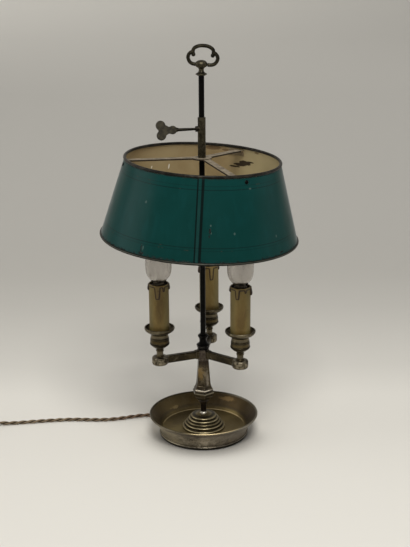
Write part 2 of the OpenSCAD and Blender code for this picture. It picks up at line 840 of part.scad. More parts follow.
module rod_socket() {
    outline = concat(
        [[0, -3], [rod_pin_r + 1, -3], [rod_pin_r + 1, 0], [7.4, 0], [7.9, 1.2], [7.9, 3]],
        [[8.4, 3.6], [8.4, 4.4], [8, 5]],
        arc(8.2, 6.4, 1, -60, 70, 5),
        bend([8, 7.8], [5.4, 9], [5.1, 12], 6),
        [[5.1, 13.6]],
        bend([5.2, 14.6], [5.5, 16.6], [7, 18.4], 5),
        [[7.3, 19.4], [7, 20.4]],
        bend([6.4, 21], [5.2, 21.4], [rod_hole_r + 0.6, socket_h], 4),
        [[0, socket_h]]
    );
    color(iron)
        translate([0, 0, socket_z])
            difference() {
                turned(outline);
                translate([0, 0, rod_foot_z - socket_z]) cylinder(r = rod_hole_r, h = socket_h);
            }
}

module rod() {
    color(iron) {
        translate([0, 0, rod_foot_z]) cylinder(r = rod_r, h = rod_step_z - rod_foot_z);
        translate([0, 0, rod_step_z]) cylinder(r = rod_pin_r, h = rod_pin_l);
    }
}

module finial_knob() {
    outline = concat(
        [[0, 0], [rod_hole_r + 1.2, 0], [7.4, 1.6], [7.4, 2.2]],
        bend([6.6, 3], [4.4, 4], [3.7, 5.4], 5),
        [[3.3, 6.4], [3.3, 7.6]],
        bend([3.5, 8.6], [4.2, 10], [5.4, 10.6], 4),
        bend([5.8, 10.7], [7.6, 11.4], [8, 14.2], 5),
        bend([8, 14.8], [7.4, 19.4], [0, 20.1], 10)
    );
    color(bronze)
        translate([0, 0, finial_foot_z])
            difference() {
                turned(outline);
                translate([0, 0, -1]) cylinder(r = rod_hole_r, h = rod_step_z - finial_foot_z + 1);
                translate([0, 0, -1])
                    cylinder(r = rod_pin_r + play, h = rod_step_z - finial_foot_z + rod_pin_l + 1.5);
            }
}

module finial_loop() {
    half = loop_w / 2;
    scroll_r = 2.7;
    arch_h = 23.8;
    lobe = joined(
        bend([4, 0.4], [half - 3, -2.4], [half - 0.4, 6.6], 8),
        bend([half - 0.4, 6.6], [half + 1.2, 12.6], [half - 6.4, 16.2], 8)
    );
    arch = joined(
        bend([half - 6.8, 12], [half - 4.2, arch_h - 4.5], [half - 10, arch_h - 2], 7),
        bend([half - 10, arch_h - 2], [half - 13.2, arch_h], [0, arch_h], 5)
    );
    whole_arch = concat(arch, [for (i = [len(arch) - 2:-1:0]) [-arch[i][0], arch[i][1]]]);
    function standing(list) = [for (p = list) [p[0], 0, p[1]]];
    color(bronze)
        translate([loop_shift, 0, loop_z])
            rotate([0, loop_lean, 0])
                difference() {
                    union() {
                        for (side = [0, 1])
                            mirror([side, 0, 0]) {
                                sweep(standing(lobe), loop_bar / 2, 12, [0, 1, 0]);
                                translate([half - 6.8, 0, 12]) sphere(r = scroll_r, $fn = 20);
                            }
                        sweep(standing(whole_arch), loop_bar / 2, 12, [0, 1, 0]);
                    }
                    translate([0, 0, -6]) cylinder(r = 6.6, h = 12);
                }
}

// ---- Slider, key and shade ----

module at_key() translate([0, 0, key_z]) rotate([0, 0, key_turn]) children();

module slider_tube() {
    shoulder_z = spider_z + strip_t / 2 + free_gap / 2;
    foot_z = shoulder_z - spigot_l;
    color(bronze)
        difference() {
            union() {
                translate([0, 0, shoulder_z]) cylinder(d = slider_d, h = slider_top_z - shoulder_z);
                translate([0, 0, foot_z]) cylinder(r = spigot_r, h = spigot_l + 1);
                at_key() rotate([0, 90, 0]) cylinder(r = key_boss_r, h = slider_d / 2 + key_boss_l);
            }
            translate([0, 0, foot_z - 1]) cylinder(r = rod_hole_r, h = slider_top_z - foot_z + 2);
            at_key() rotate([0, 90, 0]) cylinder(r = key_hole_r, h = slider_d + key_boss_l);
        }
}

module clamp_key() {
    tip = rod_r + 0.1;
    grip_from = key_reach - 28;
    lobe_x = key_reach - key_lobe_r;
    bulge_x = key_reach - 21.6;
    color(bronze)
        at_key() rotate([key_roll, 0, 0])
            union() {
                translate([tip, 0, 0]) rotate([0, 90, 0]) cylinder(r = key_r, h = 8);
                translate([tip + 8, 0, 0])
                    rotate([0, 90, 0]) cylinder(r1 = key_r, r2 = key_r + 0.5, h = grip_from - tip - 6);
                rotate([90, 0, 0])
                    linear_extrude(key_t, center = true)
                        union() {
                            for (side = [-1, 1])
                                translate([lobe_x, side * key_lobe_apart / 2]) circle(r = key_lobe_r);
                            translate([bulge_x, 0]) circle(r = key_bulge_r);
                            polygon([
                                [grip_from - 1, key_r + 0.3], [bulge_x, key_bulge_r - 0.6],
                                [bulge_x + 5, key_bulge_r - 1.2], [lobe_x - 3, 9], [lobe_x + 2.2, 5.4],
                                [lobe_x + 3.4, 0], [lobe_x + 2.2, -5.4], [lobe_x - 3, -9],
                                [bulge_x + 5, -key_bulge_r + 1.2], [bulge_x, -key_bulge_r + 0.6],
                                [grip_from - 1, -key_r - 0.3]
                            ]);
                        }
            }
}

module spider_ring() {
    ring_top_z = spider_z - strip_t / 2;
    color(iron)
        translate([0, 0, ring_top_z - ring_h])
            difference() {
                cylinder(r = ring_r, h = ring_h);
                translate([0, 0, -1]) cylinder(r = spigot_r + play, h = ring_h + 2);
            }
}

// The shade's own frame: z = 0 is in the plane of the middle of its top rim
module leaning()
    translate([shade_shift, 0, spider_z - rim_drop]) rotate([shade_tilt, shade_lean, 0]) children();

function wall_r(z) = top_wall_r - z * tan(wall_angle);

// A point of the wall's section, so far down the sheet and so far in from its middle
function wall_point(down, inwards) = [
    top_wall_r + down * sin(wall_angle) - inwards * cos(wall_angle),
    -down * cos(wall_angle) - inwards * sin(wall_angle)
];

// A place in the middle of the sheet, at a strip, with x pointing out through it
module at_wall(turn, down) {
    place = wall_point(down, 0);
    rotate([0, 0, turn])
        translate([place[0], 0, place[1]])
            rotate([0, -wall_angle, 0]) children();
}

module rivet_holes() {
    for (turn = strip_turns)
        at_wall(turn + rivet_aside, rivet_drop)
            translate([-5, 0, 0]) rotate([0, 90, 0]) cylinder(d = rivet_d + 2 * play, h = 10);
}

module shade_spider() {
    seat = tab_offset + tab_t / 2;
    strip_outline = [
        [strip_start_r, rim_drop - strip_t / 2], wall_point(tab_top + strip_t, seat),
        wall_point(tab_top, seat), [strip_start_r, rim_drop + strip_t / 2]
    ];
    tab_outline = [
        wall_point(tab_top, tab_offset), wall_point(tab_top, tab_offset + tab_t),
        wall_point(tab_l, tab_offset + tab_t), wall_point(tab_l, tab_offset)
    ];
    tab_from = -strip_w / 2 / top_wall_r * 180 / PI;
    tab_angle = (strip_w / 2 + tab_w) / top_wall_r * 180 / PI;
    color(cream)
        difference() {
            union() {
                translate([0, 0, spider_z - strip_t / 2]) cylinder(d = plate_d, h = strip_t);
                leaning()
                    for (turn = strip_turns) {
                        rotate([90, 0, turn])
                            linear_extrude(strip_w, center = true) polygon(strip_outline);
                        rotate([0, 0, turn + tab_from])
                            rotate_extrude(angle = tab_angle, $fn = 128) polygon(tab_outline);
                    }
            }
            translate([0, 0, spider_z - 5]) cylinder(r = spigot_r + play, h = 10);
            leaning() rivet_holes();
        }
}

module shade_skin() {
    half_t = sheet_t / 2;
    color(green)
        leaning()
            difference() {
                union() {
                    rotate_extrude($fn = 128)
                        polygon([
                            [top_wall_r - half_t, 0], [top_wall_r + half_t, 0],
                            [bottom_wall_r + half_t, -shade_h], [bottom_wall_r - half_t, -shade_h]
                        ]);
                    rotate([0, 0, seam_turn - seam_w / wall_r(-shade_h / 2) * 90 / PI])
                        rotate_extrude(angle = seam_w / wall_r(-shade_h / 2) * 180 / PI, $fn = 128)
                            polygon([
                                [top_wall_r, 0], [top_wall_r + half_t + seam_t, 0],
                                [bottom_wall_r + half_t + seam_t, -shade_h], [bottom_wall_r, -shade_h]
                            ]);
                }
                rotate_extrude($fn = 128) translate([top_wall_r, 0]) circle(r = top_rim_r + play);
                rotate_extrude($fn = 128)
                    translate([bottom_wall_r, -shade_h]) circle(r = bottom_rim_r + play);
                rivet_holes();
            }
}

module top_rim() {
    color(silvered) leaning() rotate_extrude() translate([top_wall_r, 0]) circle(r = top_rim_r);
}

module bottom_rim() {
    color(silvered)
        leaning() rotate_extrude() translate([bottom_wall_r, -shade_h]) circle(r = bottom_rim_r);
}

module shade_rivets() {
    shank_from = -tab_offset - tab_t;
    head_from = sheet_t / 2;
    color(bronze)
        leaning()
            for (turn = strip_turns)
                at_wall(turn + rivet_aside, rivet_drop)
                    rotate([0, 90, 0]) {
                        translate([0, 0, shank_from])
                            cylinder(d = rivet_d, h = head_from - shank_from + 0.5);
                        translate([0, 0, head_from])
                            turned(concat(
                                [[0, 0], [rivet_head_r, 0]],
                                bend(
                                    [rivet_head_r, 0.2], [rivet_head_r - 0.6, rivet_head_h],
                                    [0, rivet_head_h], 5
                                )
                            ));
                    }
}

// ---- Cord, switch and plug ----

module cord_run() {
    color(textile) {
        sweep(lead_route, cord_r, cord_sides);
        sweep(link_route, cord_r, cord_sides);
        sweep(tail_route, cord_r, cord_sides);
    }
}

// The outer shape of the coil's turns
module coil_form() {
    translate([coil_x, coil_y, tie_t])
        rotate_extrude()
            translate([coil_mid_r, coil_h / 2]) polygon(round_corners(coil_w, coil_h, cord_r));
}

module cord_coil() {
    color(textile) coil_form();
}

module cord_tie() {
    color("dimgray")
        difference() {
            translate([coil_x, coil_y, 0])
                rotate([0, 0, tie_turn])
                    translate([coil_mid_r, 0, coil_h / 2 + tie_t])
                        rotate([90, 0, 0])
                            linear_extrude(tie_w, center = true)
                                polygon(round_corners(coil_w + 2 * tie_t, coil_h + 2 * tie_t, cord_r));
            coil_form();
        }
}

module plug_body() {
    neck_r = cord_r + 0.8;
    boot_r = 5.6;
    color(bakelite)
        translate([plug_x, plug_y, plug_z])
            rotate([90, 0, 0])
                difference() {
                    union() {
                        cylinder(r1 = neck_r, r2 = boot_r, h = plug_boot_l);
                        translate([0, 0, plug_boot_l - 1])
                            linear_extrude(plug_l) polygon(round_corners(plug_w, plug_h, plug_corner));
                    }
                    for (side = [-1, 1])
                        translate([side * pin_apart / 2, 0, plug_boot_l + plug_l - 9])
                            cylinder(r = pin_r + play, h = 12);
                }
}

module plug_pins() {
    color("silver")
        translate([plug_x, plug_y, plug_z])
            rotate([90, 0, 0])
                for (side = [-1, 1])
                    translate([side * pin_apart / 2, 0, plug_boot_l + plug_l - 9]) {
                        cylinder(r = pin_r, h = pin_l + 7);
                        translate([0, 0, pin_l + 7]) cylinder(r1 = pin_r, r2 = pin_r - 0.7, h = 1);
                    }
}

module switch_base() {
    color(bakelite)
        translate([switch_x, switch_y, 0])
            difference() {
                linear_extrude(switch_split_z)
                    polygon(round_corners(switch_l, switch_w, switch_corner));
                translate([0, 0, switch_wall])
                    linear_extrude(switch_split_z)
                        polygon(round_corners(switch_l - 14, switch_w - 2 * switch_wall, switch_corner - 2));
                translate([-switch_l / 2 - 1, 0, switch_split_z])
                    rotate([0, 90, 0]) cylinder(r = cord_r, h = switch_l + 2);
            }
}

module switch_cover() {
    cover_h = switch_h - switch_split_z;
    crown = 2;
    color(bakelite)
        translate([switch_x, switch_y, switch_split_z])
            difference() {
                union() {
                    linear_extrude(cover_h - crown)
                        polygon(round_corners(switch_l, switch_w, switch_corner));
                    translate([0, 0, cover_h - crown - 0.001])
                        linear_extrude(crown)
                            polygon(round_corners(switch_l - 3, switch_w - 3, switch_corner - 1.5));
                }
                translate([0, 0, -1])
                    linear_extrude(2)
                        polygon(round_corners(switch_l - 14, switch_w - 2 * switch_wall, switch_corner - 2));
                translate([-switch_l / 2 - 1, 0, 0])
                    rotate([0, 90, 0]) cylinder(r = cord_r, h = switch_l + 2);
                translate([-rocker_l / 2 - window_play, -rocker_w / 2 - window_play / 2, -1])
                    cube([rocker_l + 2 * window_play, rocker_w + window_play, cover_h + 2]);
                translate([0, rocker_pin_l / 2 + play, rocker_z - switch_split_z])
                    rotate([90, 0, 0]) cylinder(r = rocker_pin_r + play, h = rocker_pin_l + 2 * play);
            }
}

module switch_rocker() {
    half = rocker_l / 2;
    color("ivory")
        translate([switch_x, switch_y, rocker_z])
            rotate([0, rocker_tilt, 0]) {
                rotate([90, 0, 0])
                    linear_extrude(rocker_w, center = true)
                        polygon(concat(
                            [[-half + 3, -rocker_low], [half - 3, -rocker_low], [half, rocker_high - 2]],
                            bend(
                                [half - 0.2, rocker_high], [0, rocker_high - 2 * rocker_dish],
                                [-half + 0.2, rocker_high]
                            ),
                            [[-half, rocker_high - 2]]
                        ));
                rotate([90, 0, 0]) cylinder(r = rocker_pin_r, h = rocker_pin_l, center = true);
            }
}

base_dish();
base_mound();
centre_tube();
base_washer();
base_nut();
cord_bush();
terminal_block();
stem_collar();
stem();
arm_hub();
arm(LEFT);  // arm_left
arm(RIGHT);  // arm_right
arm(BACK);  // arm_back
cup(LEFT);  // cup_left
cup(RIGHT);  // cup_right
cup(BACK);  // cup_back
drip_pan(LEFT);  // drip_pan_left
drip_pan(RIGHT);  // drip_pan_right
drip_pan(BACK);  // drip_pan_back
cup_nipple(LEFT);  // cup_nipple_left
cup_nipple(RIGHT);  // cup_nipple_right
cup_nipple(BACK);  // cup_nipple_back
cup_nuts();
lampholder(LEFT);  // lampholder_left
lampholder(RIGHT);  // lampholder_right
lampholder(BACK);  // lampholder_back
candle_sleeve(LEFT);  // candle_sleeve_left
candle_sleeve(RIGHT);  // candle_sleeve_right
candle_sleeve(BACK);  // candle_sleeve_back
bulb_glass(LEFT);  // bulb_glass_left
bulb_glass(RIGHT);  // bulb_glass_right
bulb_glass(BACK);  // bulb_glass_back
bulb_cap(LEFT);  // bulb_cap_left
bulb_cap(RIGHT);  // bulb_cap_right
bulb_cap(BACK);  // bulb_cap_back
filaments();
wire(LEFT);  // wire_left
wire(RIGHT);  // wire_right
wire(BACK);  // wire_back
rod_socket();
rod();
finial_knob();
finial_loop();
slider_tube();
clamp_key();
spider_ring();
shade_spider();
shade_skin();
top_rim();
bottom_rim();
shade_rivets();
cord_run();
cord_coil();
cord_tie();
plug_body();
plug_pins();
switch_base();
switch_cover();
switch_rocker();
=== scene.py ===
import math

import bpy
from mathutils import Matrix, Vector


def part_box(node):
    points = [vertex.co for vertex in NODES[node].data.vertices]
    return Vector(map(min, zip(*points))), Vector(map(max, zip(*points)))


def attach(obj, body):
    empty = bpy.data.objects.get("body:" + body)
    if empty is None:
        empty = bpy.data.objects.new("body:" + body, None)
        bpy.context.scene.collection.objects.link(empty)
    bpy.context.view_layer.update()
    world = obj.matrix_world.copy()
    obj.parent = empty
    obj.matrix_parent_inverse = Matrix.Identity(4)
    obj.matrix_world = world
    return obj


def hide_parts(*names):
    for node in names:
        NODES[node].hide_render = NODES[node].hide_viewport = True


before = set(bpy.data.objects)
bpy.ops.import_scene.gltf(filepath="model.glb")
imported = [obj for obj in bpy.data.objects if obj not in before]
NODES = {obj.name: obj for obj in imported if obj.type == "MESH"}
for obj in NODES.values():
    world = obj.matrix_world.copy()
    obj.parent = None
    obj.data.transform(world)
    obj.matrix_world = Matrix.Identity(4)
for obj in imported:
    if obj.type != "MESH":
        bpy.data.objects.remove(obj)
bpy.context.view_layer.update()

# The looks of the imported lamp. Lengths are in metres, and z is up.
ARMS = ("left", "right", "back")
MM = 0.001
TAU = 2 * math.pi


# ---- Camera ----

CAMERA_AT = Vector((3.17, -1451.6, 680.5)) * MM
CAMERA_PITCH = 17.10
CAMERA_ROLL = 0.36
CAMERA_LENS = 73.7


def make_camera():
    data = bpy.data.cameras.new("camera")
    data.lens = CAMERA_LENS
    data.clip_start = 0.05
    camera = bpy.data.objects.new("camera", data)
    bpy.context.scene.collection.objects.link(camera)
    tilt = Matrix.Rotation(math.radians(90 - CAMERA_PITCH), 4, "X")
    roll = Matrix.Rotation(math.radians(-CAMERA_ROLL), 4, "Z")
    camera.matrix_world = Matrix.Translation(CAMERA_AT) @ tilt @ roll
    bpy.context.scene.camera = camera


# ---- Mesh helpers ----

def new_piece(name, points, faces, look):
    mesh = bpy.data.meshes.new(name)
    mesh.from_pydata([tuple(p) for p in points], [], faces)
    mesh.validate()
    for polygon in mesh.polygons:
        polygon.use_smooth = True
    mesh.materials.append(look)
    piece = bpy.data.objects.new(name, mesh)
    bpy.context.scene.collection.objects.link(piece)
    return piece


def across_line(line, i):
    """Two directions at right angles to the line at its point i, the second one upward."""
    ahead = (line[min(i + 1, len(line) - 1)] - line[max(i - 1, 0)]).normalized()
    across = ahead.cross(Vector((0, 0, 1))).normalized()
    return across, across.cross(ahead)


def tube_rings(line, radius, sides):
    """Points and faces of a round tube with closed ends along a line of points."""
    points, faces = [], []
    for i, centre in enumerate(line):
        across, above = across_line(line, i)
        for k in range(sides):
            turn = TAU * k / sides
            points.append(centre + radius * (math.cos(turn) * across + math.sin(turn) * above))
    for i in range(len(line) - 1):
        for k in range(sides):
            n = (k + 1) % sides
            faces.append((i * sides + k, i * sides + n, (i + 1) * sides + n, (i + 1) * sides + k))
    last = (len(line) - 1) * sides
    faces.append(tuple(range(sides))[::-1])
    faces.append(tuple(range(last, last + sides)))
    return points, faces


def smooth_line(points, step):
    """A Catmull-Rom curve through the points, with a point about every step."""
    line = []
    for i in range(len(points) - 1):
        before = points[max(i - 1, 0)]
        a, b = points[i], points[i + 1]
        after = points[min(i + 2, len(points) - 1)]
        count = max(1, round((b - a).length / step))
        for k in range(count):
            t = k / count
            line.append(0.5 * (
                2 * a + (b - before) * t
                + (2 * before - 5 * a + 4 * b - after) * t ** 2
                + (3 * a - before - 3 * b + after) * t ** 3
            ))
    line.append(points[-1])
    return line


# ---- Materials ----

# An uneven spot's grain, in noise cells per metre, and how far its edge strays
SPOT_GRAIN = 240
SPOT_RAGGED = 2.4


class Look:
    """One node material, built by short calls that each return a socket."""

    def __init__(self, name):
        self.material = bpy.data.materials.new(name)
        self.material.use_nodes = True
        self.tree = self.material.node_tree
        self.shader = self.tree.nodes["Principled BSDF"]
        self.place = self.node("ShaderNodeTexCoord").outputs["Object"]

    def node(self, kind, **settings):
        made = self.tree.nodes.new(kind)
        for key, value in settings.items():
            setattr(made, key, value)
        return made

    def put(self, socket, value):
        if isinstance(value, bpy.types.NodeSocket):
            self.tree.links.new(value, socket)
        elif hasattr(value, "__len__") and len(value) == 3 and socket.type == "RGBA":
            socket.default_value = (*value, 1)
        else:
            socket.default_value = value

    def fill(self, made, **inputs):
        """Set or link a node's inputs by name, with _ for a space."""
        for name, value in inputs.items():
            self.put(made.inputs[name.replace("_", " ")], value)
        return made

    def math(self, operation, a, b=0.0):
        made = self.node("ShaderNodeMath", operation=operation)
        for socket, value in zip(made.inputs, (a, b)):
            self.put(socket, value)
        return made.outputs[0]

    def vector(self, operation, a, b=(0, 0, 0)):
        made = self.node("ShaderNodeVectorMath", operation=operation)
        self.put(made.inputs[0], a)
        self.put(made.inputs[1], b)
        scalar = operation in ("DOT_PRODUCT", "LENGTH")
        return made.outputs["Value" if scalar else "Vector"]

    def parts(self, vector):
        made = self.node("ShaderNodeSeparateXYZ")
        self.put(made.inputs[0], vector)
        return made.outputs

    def combined(self, x, y, z):
        made = self.node("ShaderNodeCombineXYZ")
        for socket, value in zip(made.inputs, (x, y, z)):
            self.put(socket, value)
        return made.outputs[0]

    def stretched(self, rise):
        """The place, with its height scaled: under 1 draws noise out upward."""
        return self.vector("MULTIPLY", self.place, (1.0, 1.0, rise))

    def noise(self, scale, vector=None, detail=4, rough=0.6, distortion=0, shift=0):
        source = vector or self.place
        if shift:
            source = self.vector("ADD", source, (shift, shift * 0.7, -shift))
        made = self.node("ShaderNodeTexNoise")
        self.fill(made, Vector=source, Scale=scale, Detail=detail, Roughness=rough, Distortion=distortion)
        return made.outputs[0]

    def between(self, value, low, high):
        """0 below low, 1 above high, smooth between. With low over high it falls instead."""
        made = self.node("ShaderNodeMapRange", interpolation_type="SMOOTHSTEP")
        self.fill(made, Value=value, From_Min=min(low, high), From_Max=max(low, high))
        self.fill(made, To_Min=float(low > high), To_Max=float(low <= high))
        return made.outputs["Result"]

    def ramp(self, value, *stops):
        made = self.node("ShaderNodeValToRGB")
        elements = made.color_ramp.elements
        while len(elements) < len(stops):
            elements.new(0.5)
        for element, (position, colour) in zip(elements, stops):
            element.position = position
            element.color = (*colour, 1)
        self.put(made.inputs[0], value)
        return made.outputs["Color"]

    def mix(self, share, a, b):
        """Colour a, or colour b where share is 1. The node's inputs 6 and 7 are its colours."""
        made = self.node("ShaderNodeMix", data_type="RGBA")
        self.fill(made, Factor=share)
        self.put(made.inputs[6], a)
        self.put(made.inputs[7], b)
        return made.outputs[2]

    def tinted(self, colour, mask, share, tone):
        """The colour, and where the mask is 1 that share of the tone over it."""
        return self.mix(self.math("MULTIPLY", mask, share), colour, tone)

    def blend(self, share, a, b):
        """Number a, or number b where share is 1. The node's inputs 2 and 3 are its numbers."""
        made = self.node("ShaderNodeMix", data_type="FLOAT")
        self.fill(made, Factor=share)
        self.put(made.inputs[2], a)
        self.put(made.inputs[3], b)
        return made.outputs[0]

    def hollow(self, distance, local=True):
        """1 in the open, falling to 0 in corners and grooves."""
        made = self.node("ShaderNodeAmbientOcclusion", samples=8, only_local=local)
        return self.fill(made, Distance=distance).outputs["AO"]

    def within(self, value, low, high, soft):
        """1 between low and high, with soft edges."""
        rise = self.between(value, low - soft, low + soft)
        return self.both(rise, self.between(value, high + soft, high - soft))

    def both(self, *masks):
        """The product of all the masks."""
        total = masks[0]
        for mask in masks[1:]:
            total = self.math("MULTIPLY", total, mask)
        return total

    def uneven(self, grain, amount, detail=4):
        """Noise round 0, which strays by half the amount each way."""
        return self.math("MULTIPLY", self.math("SUBTRACT", self.noise(grain, detail=detail), 0.5), amount)

    def spot(self, place, size):
        """1 inside an uneven spot round a place, with its half sizes along x, y and z, in millimetres."""
        off = self.vector("SUBTRACT", self.place, tuple(c * MM for c in place))
        way = self.vector("LENGTH", self.vector("DIVIDE", off, tuple(c * MM for c in size)))
        way = self.math("ADD", way, self.uneven(SPOT_GRAIN, SPOT_RAGGED, detail=5))
        return self.between(way, 1.25, 0.55)

    def object_normal(self):
        return self.node("ShaderNodeTexCoord").outputs["Normal"]

    def up(self):
        """1 on a face that looks up, -1 on one that looks down."""
        return self.parts(self.object_normal())[2]

    def rounded(self, radius):
        return self.fill(self.node("ShaderNodeBevel", samples=6), Radius=radius).outputs["Normal"]

    def edge(self, rounded):
        """Near 1 on an outer edge that the rounded normal softens."""
        flat = self.node("ShaderNodeNewGeometry").outputs["Normal"]
        return self.between(self.vector("DOT_PRODUCT", rounded, flat), 0.98, 0.86)

    def bump(self, height, distance, normal=None):
        made = self.fill(self.node("ShaderNodeBump"), Height=height, Distance=distance)
        if normal:
            self.fill(made, Normal=normal)
        return made.outputs["Normal"]

    def set(self, **inputs):
        self.fill(self.shader, **inputs)
        return self.material


def radial(look):
    """Distance from the lamp's axis, and how far a face looks away from that axis."""
    x, y, _ = look.parts(look.place)
    flat = look.combined(x, y, 0.0)
    away = look.vector("NORMALIZE", flat)
    return look.vector("LENGTH", flat), look.vector("DOT_PRODUCT", away, look.object_normal())


# ---- Metals ----

def aged_metal(name, pale, middle, dark, warm_and_glint, rough=0.34, grain=1.0, dirt_and_shade_size=4 * MM,
               clean_and_lit=0.85, depth=0.35 * MM, cover=None):
    """Old plated brass: patches of three tones, spots, grime and painted shade in the hollows, and bright
    edges that are partly worn and partly a painted highlight.
    """
    look = Look(name)
    clouds = look.noise(26 * grain, detail=6, rough=0.62, distortion=0.4)
    mottle = look.noise(150 * grain, detail=6, rough=0.7, distortion=1.2, shift=3.1)
    fine = look.noise(900, detail=3, rough=0.6, shift=7.7)
    tone = look.math("ADD", look.math("MULTIPLY", clouds, 0.55), look.math("MULTIPLY", mottle, 0.45))
    colour = look.ramp(tone, (0.38, dark), (0.49, middle), (0.60, pale))
    warm = look.between(look.noise(40 * grain, distortion=0.8, shift=11.3), 0.58, 0.68)
    colour = look.tinted(colour, warm, 0.4, warm_and_glint)
    spotted = look.between(look.noise(310, detail=2, shift=5.2), 0.68, 0.73)
    colour = look.tinted(colour, spotted, 0.75, dark)
    if cover:
        colour = cover(look, colour)
    # Grime and painted shade: darker in hollows and grooves, from the occlusion.
    dirt_and_shade = look.between(look.hollow(dirt_and_shade_size), clean_and_lit, clean_and_lit - 0.5)
    grime_and_shade = tuple(0.25 * c for c in dark)
    colour = look.tinted(colour, dirt_and_shade, 0.92, grime_and_shade)
    rounded = look.rounded(0.6 * MM)
    # Edges in the warm tone: partly wear and partly a painted highlight.
    colour = look.tinted(colour, look.edge(rounded), 0.6, warm_and_glint)
    shine = look.blend(mottle, rough - 0.12, rough + 0.22)
    shine = look.math("ADD", shine, look.math("MULTIPLY", dirt_and_shade, 0.25))
    height = look.math("ADD", look.math("MULTIPLY", mottle, 0.7), look.math("MULTIPLY", fine, 0.3))
    return look.set(
        Base_Color=colour, Metallic=0.92, Roughness=shine, Normal=look.bump(height, depth, rounded)
    )


# Where the dish's floor meets its wall, the middle of its rim bead, and its top
FLOOR_EDGE_R = 57.6 * MM
RIM_MIDDLE_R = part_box("base_dish")[1].x - 1.1 * MM
DISH_TOP_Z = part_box("base_dish")[1].z
# Rubbed spots on the dish's inner wall, in millimetres: place, half sizes, how plain, and the tone
WALL_SPOTS = (
    ((36, 60.5, 24.0), (12, 10, 2.6), 0.7, (0.20, 0.125, 0.045)),
    ((-43, 48, 16.5), (8, 8, 1.6), 0.6, (0.22, 0.155, 0.06)),
)
# Foot of the mound, and its rings: height above that foot in millimetres, and how strong each one's
# painted highlight is
MOUND_FOOT_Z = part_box("base_mound")[0].z
MOUND_RINGS = ((1.3, 0.95), (5.5, 0.95), (9.2, 0.30), (12.8, 0.85), (16.4, 0.70))
# Height of the stem's widest edge, and its top
KNOP_EDGE_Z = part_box("stem")[0].z + 15.6 * MM
STEM_TOP_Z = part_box("stem")[1].z
# Where the arms' bars meet their round ends
ARM_END_R = 52 * MM
# Just outside the slider's tube
SLIDER_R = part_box("slider_tube")[1].x + 0.1 * MM
# Foot of the cups, and their bands of painted light and shade: from and to above that foot in millimetres,
# how plain, and the tone
CUP_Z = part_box("cup_left")[0].z
CUP_BANDS = (
    (28.6, 32.2, 0.50, (0.24, 0.200, 0.128)), (25.2, 27.6, 0.80, (0.014, 0.011, 0.006)),
    (21.6, 24.6, 0.45, (0.120, 0.086, 0.036)), (17.6, 20.8, 0.80, (0.012, 0.009, 0.004)),
    (13.4, 16.6, 0.65, (0.24, 0.215, 0.155)), (9.6, 12.2, 0.70, (0.016, 0.012, 0.007)),
    (2.5, 7.5, 0.35, (0.22, 0.19, 0.13)),
)


def dish_inside(look, distance):
    """Brown brass: a darker wall with two rubbed spots and painted shade on its right, painted light on
    the floor's right, and a painted highlight along the floor's edge at the back.
    """
    x, y, height = look.parts(look.place)
    patches = look.noise(22, detail=4, distortion=0.5, shift=2.3)
    brown = look.ramp(patches, (0.36, (0.084, 0.058, 0.016)), (0.52, (0.136, 0.098, 0.031)),
                      (0.66, (0.193, 0.146, 0.048)))
    wall = look.between(distance, FLOOR_EDGE_R + 0.4 * MM, FLOOR_EDGE_R + 4.4 * MM)
    brown = look.tinted(brown, wall, 0.90, (0.062, 0.038, 0.008))
    # Painted shade: the inner wall is darker on the right.
    shaded_wall_right = look.both(wall, look.between(x, 5 * MM, 25 * MM))
    brown = look.tinted(brown, shaded_wall_right, 0.6, (0.022, 0.012, 0.003))
    # Painted light: the floor is paler on the right.
    lit_floor_right = look.both(look.between(wall, 1.0, 0.0), look.between(x, 10 * MM, 35 * MM))
    brown = look.tinted(brown, lit_floor_right, 0.2, (0.36, 0.270, 0.110))
    low_wall = look.both(wall, look.between(height, 18 * MM, 14.5 * MM))
    brown = look.tinted(brown, low_wall, 0.6, (0.016, 0.010, 0.003))
    for place, size, share, tone in WALL_SPOTS:
        brown = look.tinted(brown, look.spot(place, size), share, tone)
    # Painted highlight: a bright line along the floor's edge at the back, broken up by the patches.
    edge = look.within(distance, FLOOR_EDGE_R - 0.5 * MM, FLOOR_EDGE_R + 0.6 * MM, 0.4 * MM)
    low = look.between(height, 12.5 * MM, 10.5 * MM)
    edge_highlight = look.both(edge, low, look.between(y, 0.0, 35 * MM))
    worn = look.blend(look.between(patches, 0.40, 0.55), 0.5, 1.0)
    return look.tinted(brown, edge_highlight, worn, (0.70, 0.55, 0.30))


def dish_rim(look, colour, distance):
    """The rim bead is tarnished, with a painted highlight paler to the right, and a bright painted
    highlight on its crest in front, where it is also rubbed to brass.
    """
    x, y, height = look.parts(look.place)
    bead = look.both(look.within(distance, RIM_MIDDLE_R - 1.6 * MM, RIM_MIDDLE_R + 2.0 * MM, 0.3 * MM),
                     look.between(height, DISH_TOP_Z - 3.7 * MM, DISH_TOP_Z - 3.0 * MM))
    # Dark tarnish on the bead, paler to the right as a painted highlight.
    tarnish_and_highlight = look.mix(look.between(x, 20 * MM, 55 * MM), (0.060, 0.050, 0.030), (0.22, 0.205, 0.160))
    colour = look.tinted(colour, bead, 0.75, tarnish_and_highlight)
    # Painted highlight on the bead's crest in front, where it is also rubbed brass.
    crest_highlight = look.both(look.within(distance, RIM_MIDDLE_R - 1.5 * MM, RIM_MIDDLE_R + 0.7 * MM, 0.3 * MM),
                      look.between(height, DISH_TOP_Z - 2.7 * MM, DISH_TOP_Z - 1.9 * MM))
    front = look.both(look.within(x, -20 * MM, 46 * MM, 12 * MM), look.between(y, -45 * MM, -62 * MM))
    return look.mix(look.both(crest_highlight, front), colour, (0.95, 0.76, 0.42))


